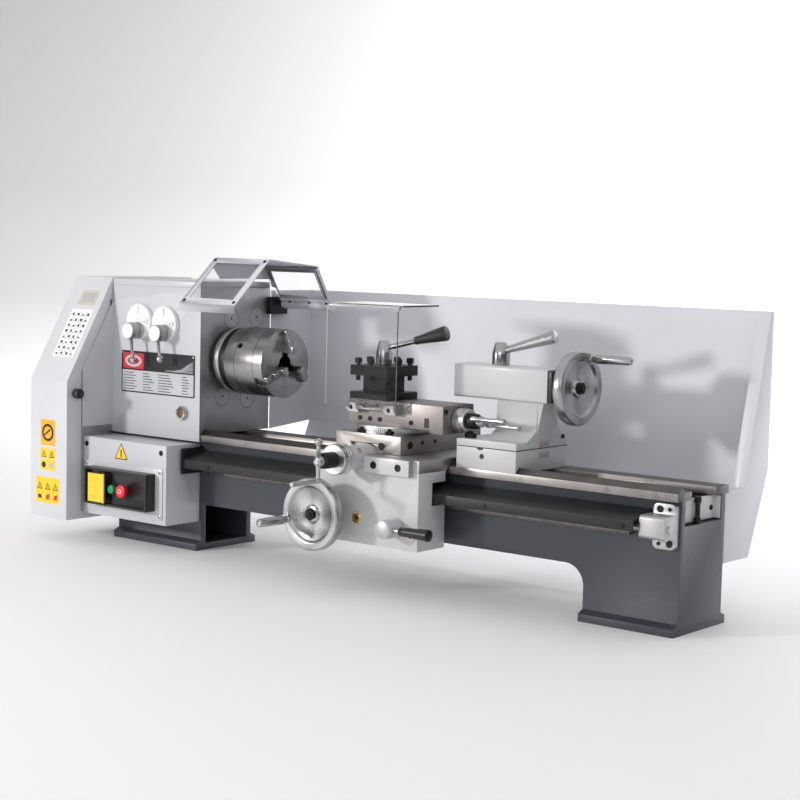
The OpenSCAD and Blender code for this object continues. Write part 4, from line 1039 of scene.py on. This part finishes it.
def feedCrank():
    feed = {"x": 57.0, "z": 229.0, "bar": 32.0, "handle": 60.0}
    x, z = feed["x"], feed["z"]
    bm = bmesh.new()
    axis = pointing((x, -100, z), (0, -1, 0))
    addLathe(bm, [(0, 0), (8, 0), (8, 90.6), (0, 90.6)], axis, 32, 0)
    addLathe(bm, [(0, 90.5), (25, 90.5), (26, 91.5), (26, 95), (24.8, 95.6), (24.8, 97), (26, 97.6), (26,
                  101),
                  (24.8, 101.6), (24.8, 103), (26, 103.6), (26, 113.6), (24.6, 115), (16, 115), (0, 115)],
                  axis, 72, 1)
    addLathe(bm, [(0, 114.8), (13, 114.8), (13.5, 115.6), (13.5, 138), (12.6, 142), (9.4, 144.6), (0, 145)],
             axis, 96, 2,
             fluted(32, 0.5, 3, 3))
    place = Matrix.Translation((x, -245, z)) @ Matrix.Rotation(pi / 2, 4, "X") @ Matrix.Rotation(pi / 2, 4,
        "Z")
    place = Matrix.Translation((x, -245, z)) @ Matrix.Rotation(pi / 2, 4, "Y") @ Matrix.Rotation(pi / 2, 4,
        "X")
    crankParts(bm, place, feed["bar"], feed["handle"], True)
    finishPiece(bm, "feedCrankTurned", bodyOf["cross_feed_crank"], ["chrome", "feedScale", "blackOxide"],
                slot=slotOf["cross_feed_crank"], replaces=["cross_feed_crank"])


feedCrank()


# compound: swivel, top slide, crank
softened("swivel_base", ["swivelScale"], 0.6)
softened("top_slide", ["darkIron"], 1.1)


def topSlideScrews():
    bm = bmesh.new()
    for x in (18, 40, 62, 130):               # gib screws on the front
        addLathe(bm, [(0, 0), (4, 0), (4, 1.2), (3.4, 1.8), (2.0, 1.8), (2.0, 0.8), (0, 0.8)],
                 pointing((x, -102, 289), (0, -1, 0)), 24, 0, hexFrom(4, 5))
    addBox(bm, (158, -102.25, 283), (168, -101.6, 299), None, 1)
    for y, z in ((-94, 312), (-60, 314), (-27, 312)):
        addSocketHead(bm, (197, y, z), (1, 0, 0), 4.4, 1.4)
    finishPiece(bm, "topSlideScrews", "top_slide", ["blackOxide", "blackInk"], slot="black_oxide")


topSlideScrews()


def topCrank():
    bm = bmesh.new()
    axis = pointing((197, -60, 297), (1, 0, 0))
    addLathe(bm, [(0, -32), (6, -32), (6, 0.4), (0, 0.4)], axis, 32, 0)
    addLathe(bm, [(0, 0.3), (19, 0.3), (20, 1.3), (20, 12), (19, 12.8), (19, 14), (20, 14.8), (20, 22.8),
                  (18.8, 24),
                  (0, 24)], axis, 72, 1)
    addLathe(bm, [(0, 23.8), (12.4, 23.8), (13, 24.6), (13, 38), (12, 41), (9.4, 42), (0, 42)], axis, 90, 2,
             fluted(30, 0.5, 3, 3))
    place = (Matrix.Translation((239, -60, 297)) @ Matrix.Rotation(radians(-17), 4, "X")
             @ Matrix.Rotation(pi / 2, 4, "Y") @ Matrix.Rotation(pi / 2, 4, "Z"))
    crankParts(bm, place, 22, 58, False)
    finishPiece(bm, "topCrankTurned", bodyOf["top_slide_crank"], ["chrome", "topScale", "blackOxide"],
                slot=slotOf["top_slide_crank"], replaces=["top_slide_crank"])


topCrank()


# tool shield
softened("shield_clips", ["steel"], 1.6)
softened("tool_shield", ["clearSheet"], 0.0)


def shieldEdges():
    # the sawn edges of the clear sheet catch the light
    bm = bmesh.new()
    for x in (-41.0, 115.0):
        s = 0.35 if x < 0 else -0.35
        addBox(bm, (min(x, x + s), -125.7, 308), (max(x, x + s), -123.3, 469))
        addBox(bm, (min(x, x + s), -111, 481.3), (max(x, x + s), -15.5, 483.7))
    finishPiece(bm, "shieldEdges", "tool_shield", ["frostedEdge"], slot="clear_plastic")
    bm = bmesh.new()
    for x in (14, 96):
        addPanHead(bm, (x, -121, 308), (0, -1, 0), 3.8, 1.6)
    finishPiece(bm, "clipScrews", "top_slide", ["blackOxide", "blackInk"], slot="black_oxide")


shieldEdges()


# toolpost
softened("toolpost", ["blackOxide"], 0.9)


def toolpostParts():
    post = {"x": 34.8, "y": -60.0, "top": 378.5}
    bm = bmesh.new()
    for q in range(4):
        for s in (-30, -2):
            turn = Matrix.Translation((post["x"], post["y"], 0)) @ Matrix.Rotation(q * pi / 2, 4, "Z")
            up = turn @ Matrix.Translation((s, -33, 0))
            addLathe(bm, [(0, 352), (3.2, 352), (4, 353), (4, 382.4), (0, 382.4)], up, 20, 0)
            addLathe(bm, [(0, 381.6), (6.6, 382), (6.6, 383), (0, 383.2)], up, 24, 0)
            addBox(bm, (-4.6, -4.6, 383), (4.6, 4.6, 390.6), up, 0)
            addLathe(bm, [(0, 390.4), (4.4, 390.5), (3.4, 391.3), (0, 391.5)], up, 24, 0)
    finishPiece(bm, "toolpostBolts", bodyOf["toolpost_screws"], ["blackOxide"],
                slot=slotOf["toolpost_screws"],
                replaces=["toolpost_screws"], bevel=0.4)
    bm = bmesh.new()
    top = post["top"] + 0.2
    hub = Matrix.Translation((post["x"], post["y"], 0))
    addLathe(bm, [(0, 302), (9, 302), (9, top), (14, top), (14.5, top + 0.6), (14.5, 400), (14.2, 401.4),
                  (9.6, 419),
                  (8.8, 420.6), (7.6, 421), (0, 421)], hub, 64, 0)
    tilt = Matrix.Translation((post["x"], post["y"], 407)) @ Matrix.Rotation(radians(12), 4, "Z") \
        @ Matrix.Rotation(radians(75), 4, "Y")
    addLathe(bm, [(0, 0), (4.6, 0), (4.6, 16), (5, 18), (5, 62), (0, 62)], tilt, 32, 0)
    addLathe(bm, [(0, 60), (6.4, 60), (7, 60.8), (7.2, 66), (8.6, 80), (11.2, 100), (12.8, 116), (13, 119),
                  (12.2, 121.4),
                  (10.6, 122), (0, 122)], tilt, 48, 1)
    finishPiece(bm, "toolpostLeverTurned", bodyOf["toolpost_lever"], ["chrome", "blackPlastic"],
                slot=slotOf["toolpost_lever"], replaces=["toolpost_lever"])


toolpostParts()
print("carriage and compound built")


# tailstock
softened("tailstock_base", ["whitePaint"], 1.6, segments=3)
softened("tailstock_body", ["whitePaint"], 1.4, segments=3)
softened("tailstock_quill", ["steel"], 0.8)
softened("tailstock_end_plate", ["blackPaint"], 1.4)


def tailParts():
    tail = {"left": 210.0, "right": 330.0, "front": -80.0, "split": 257.5}
    bm = bmesh.new()
    f, s = tail["front"], tail["split"]
    addPrism(bm, [(250, s + 0.6), (253, s - 3.5), (258, s - 4.5), (263, s - 3.5), (266, s + 0.6)], 1,
        f - 0.35, f, 1)
    addBox(bm, (tail["left"] + 1, f - 0.12, s - 0.8), (tail["right"] - 1, f, s + 0.8), None, 1)
    addBox(bm, (tail["right"] - 0.02, f + 1, s - 0.8), (tail["right"] + 0.12, 67, s + 0.8), None, 1)
    addLathe(bm, [(0, 0), (4.4, 0), (4.4, 0.4), (3.2, 0.5), (2.6, 0.2), (0, 0.2)], pointing((262, f, 243),
             (0, -1, 0)),
             24, 1)
    finishPiece(bm, "splitLine", "tailstock", ["whitePaint", "darkInk"], slot="black_plastic")
    bm = bmesh.new()
    for low in (s - 17, s + 1.5):             # two small scale plates over the split
        addRoundBox(bm, (330, -14, low), (330.7, 14, low + 10.2), 0.8, 0, 0)
        for k in range(9):
            addBox(bm, (330.6, -10 + k * 2.5, low + 3), (330.85, -9.6 + k * 2.5,
                low + (7.5 if k == 4 else 5.6)), None, 1)
        for y in (-12, 12):
            for z in (low + 1.8, low + 8.4):
                addLathe(bm, [(0, 0), (1.0, 0), (0.7, 0.3), (0, 0.4)], pointing((330.7, y, z), (1, 0, 0)),
                    10, 2)
    finishPiece(bm, "scalePlates", "tailstock", ["greyInk", "blackInk", "redInk"], slot="label")
    bm = bmesh.new()
    addHexHead(bm, (222, -58, 269.5), (0, 0, 1), 9, 7, 0, 4.4)
    addHexHead(bm, (322, 54, 269.5), (0, 0, 1), 9, 7, 0, 4.4)
    for y in (-20, 20):
        for z in (340.5, 380.5):
            addSocketHead(bm, (359, y, z), (1, 0, 0), 4.2, 2.2)
    finishPiece(bm, "tailNuts", "tailstock", ["blackOxide"], slot="black_oxide")


tailParts()


def tailWheel():
    bm = bmesh.new()
    place = Matrix.Translation((366.5, 0, 360.5)) @ Matrix.Rotation(pi / 2, 4, "Y")
    spokes(bm, place, (267 - 366.5, 0.4))
    a = radians(155)
    spot = place @ Vector((53 * cos(a), 53 * sin(a), 33.6))
    gripOn(bm, spot, (1, 0, 0), 78, 2)
    finishPiece(bm, "tailWheelTurned", bodyOf["tailstock_handwheel"], ["tailWheel", "blackOxide", "chrome"],
                slot=slotOf["tailstock_handwheel"], replaces=["tailstock_handwheel"], angle=24)


tailWheel()


def quillHandle():
    bm = bmesh.new()
    hub = Matrix.Translation((237.6, 0, 0))
    addLathe(bm, [(0, 380), (6, 380), (6, 389.2), (14.4, 389.2), (15, 390), (15, 407), (14.8, 408.2), (10.8,
                  425),
                  (9.6, 426.6), (8.6, 427), (0, 427)], hub, 64, 0)
    tilt = Matrix.Translation((237.6, 0, 411)) @ Matrix.Rotation(radians(74), 4, "Y")
    addLathe(bm, [(0, 0), (5.4, 0), (5.6, 13), (6.2, 22), (8.6, 68), (10.8, 108), (11, 110), (10.2, 111.6),
                  (9, 112),
                  (0, 112)], tilt, 48, 0)
    finishPiece(bm, "quillLeverTurned", bodyOf["quill_lever"], ["chrome"], slot=slotOf["quill_lever"],
                replaces=["quill_lever"])


quillHandle()


def bedEnd():
    # scale on the way's front edge
    bm = bmesh.new()
    for k in range(12):
        addBox(bm, (560 + k * 5, -80.25, 210), (560.5 + k * 5, -79.9, 217 if k % 5 == 0 else 214), None, 0)
    finishPiece(bm, "wayScale", "base", ["darkInk"], slot="black_plastic")


bedEnd()
print("tailstock built")


# floor, lights and camera
def studio():
    floorMat, tree, bsdf = shader("paleFloor", {"Base Color": (0.93, 0.93, 0.935, 1), "Roughness": 0.65})
    coords = node(tree, "ShaderNodeTexCoord").outputs["Object"]
    speck = node(tree, "ShaderNodeTexNoise", Scale=60.0, Detail=3.0)
    tree.links.new(coords, speck.inputs["Vector"])
    bumpFrom(tree, speck.outputs["Fac"], bsdf, 0.02, 0.0005)
    bm = bmesh.new()
    rows = [(-9, 0), (3, 0), (4.4, 0.2), (5.4, 0.9), (6, 2.2), (6.2, 4.5), (6.2, 9)]
    strips = [[bm.verts.new((x, y, z)) for x in (-14, 14)] for y, z in rows]
    for a, b in zip(strips, strips[1:]):
        bm.faces.new((a[0], a[1], b[1], b[0]))
    mesh = bpy.data.meshes.new("floor")
    bm.to_mesh(mesh)
    bm.free()
    floor = bpy.data.objects.new("floor", mesh)
    bpy.context.scene.collection.objects.link(floor)
    mesh.materials.append(floorMat)
    for poly in mesh.polygons:
        poly.use_smooth = True
    bpy.context.scene.view_settings.view_transform = "Standard"

    world = bpy.data.worlds.new("studio")
    bpy.context.scene.world = world
    world.use_nodes = True
    background = world.node_tree.nodes["Background"]
    background.inputs["Color"].default_value = (1, 1, 1, 1)
    tree = world.node_tree
    parts = node(tree, "ShaderNodeSeparateXYZ")
    tree.links.new(node(tree, "ShaderNodeTexCoord").outputs["Generated"], parts.inputs[0])
    ceiling = node(tree, "ShaderNodeMapRange", {"interpolation_type": "SMOOTHSTEP"})
    for key, value in lamps["surround"].items():
        ceiling.inputs[key].default_value = value
    tree.links.new(parts.outputs["Z"], ceiling.inputs["Value"])
    tree.links.new(ceiling.outputs["Result"], background.inputs["Strength"])
    for name, place, target, size, power, color in lamps["panels"]:
        light = bpy.data.lights.new(name, "AREA")
        light.shape = "RECTANGLE"
        light.size, light.size_y = size
        light.energy = power
        light.color = color
        lamp = bpy.data.objects.new(name, light)
        lamp.location = place
        lamp.rotation_euler = (Vector(target) - Vector(place)).to_track_quat("-Z", "Y").to_euler()
        bpy.context.scene.collection.objects.link(lamp)


lamps = {
    "surround": {"From Min": 0.1, "From Max": 0.5, "To Min": 0.1, "To Max": 0.74},
    "panels": (
        ("keyPanel", (-1.55, -2.6, 0.85), (0.1, 0, 0.3), (0.28, 0.28), 42, (1, 0.985, 0.96)),
        ("fillPanel", (1.2, -3.4, 1.3), (0.1, 0, 0.2), (2.4, 1.2), 17, (0.97, 0.98, 1)),
        ("wallPanel", (0, 2.2, 3.6), (0, 5.8, 1.2), (6.0, 1.5), 320, (1, 1, 1)),
    ),
}
studio()


def camera():
    view = {"azimuth": 39.02785, "elevation": 5.1576, "roll": 1.33287, "place": (1.93949, -2.36514, 0.588396),
            "lens": 1742.68 / 800 * 36}
    az, el, roll = (radians(view[k]) for k in ("azimuth", "elevation", "roll"))
    look = Vector((-sin(az) * cos(el), cos(az) * cos(el), -sin(el)))
    right = Vector((cos(az), sin(az), 0))
    up = right.cross(look)
    r2 = right * cos(roll) + up * sin(roll)
    u2 = up * cos(roll) - right * sin(roll)
    data = bpy.data.cameras.new("lathe view")
    data.sensor_width = 36
    data.lens = view["lens"]
    data.clip_end = 60
    cam = bpy.data.objects.new("latheView", data)
    bpy.context.scene.collection.objects.link(cam)
    turn = Matrix((r2, u2, -look)).transposed().to_4x4()
    cam.matrix_world = Matrix.Translation(Vector(view["place"])) @ turn
    bpy.context.scene.camera = cam


camera()
print("camera and lights set")
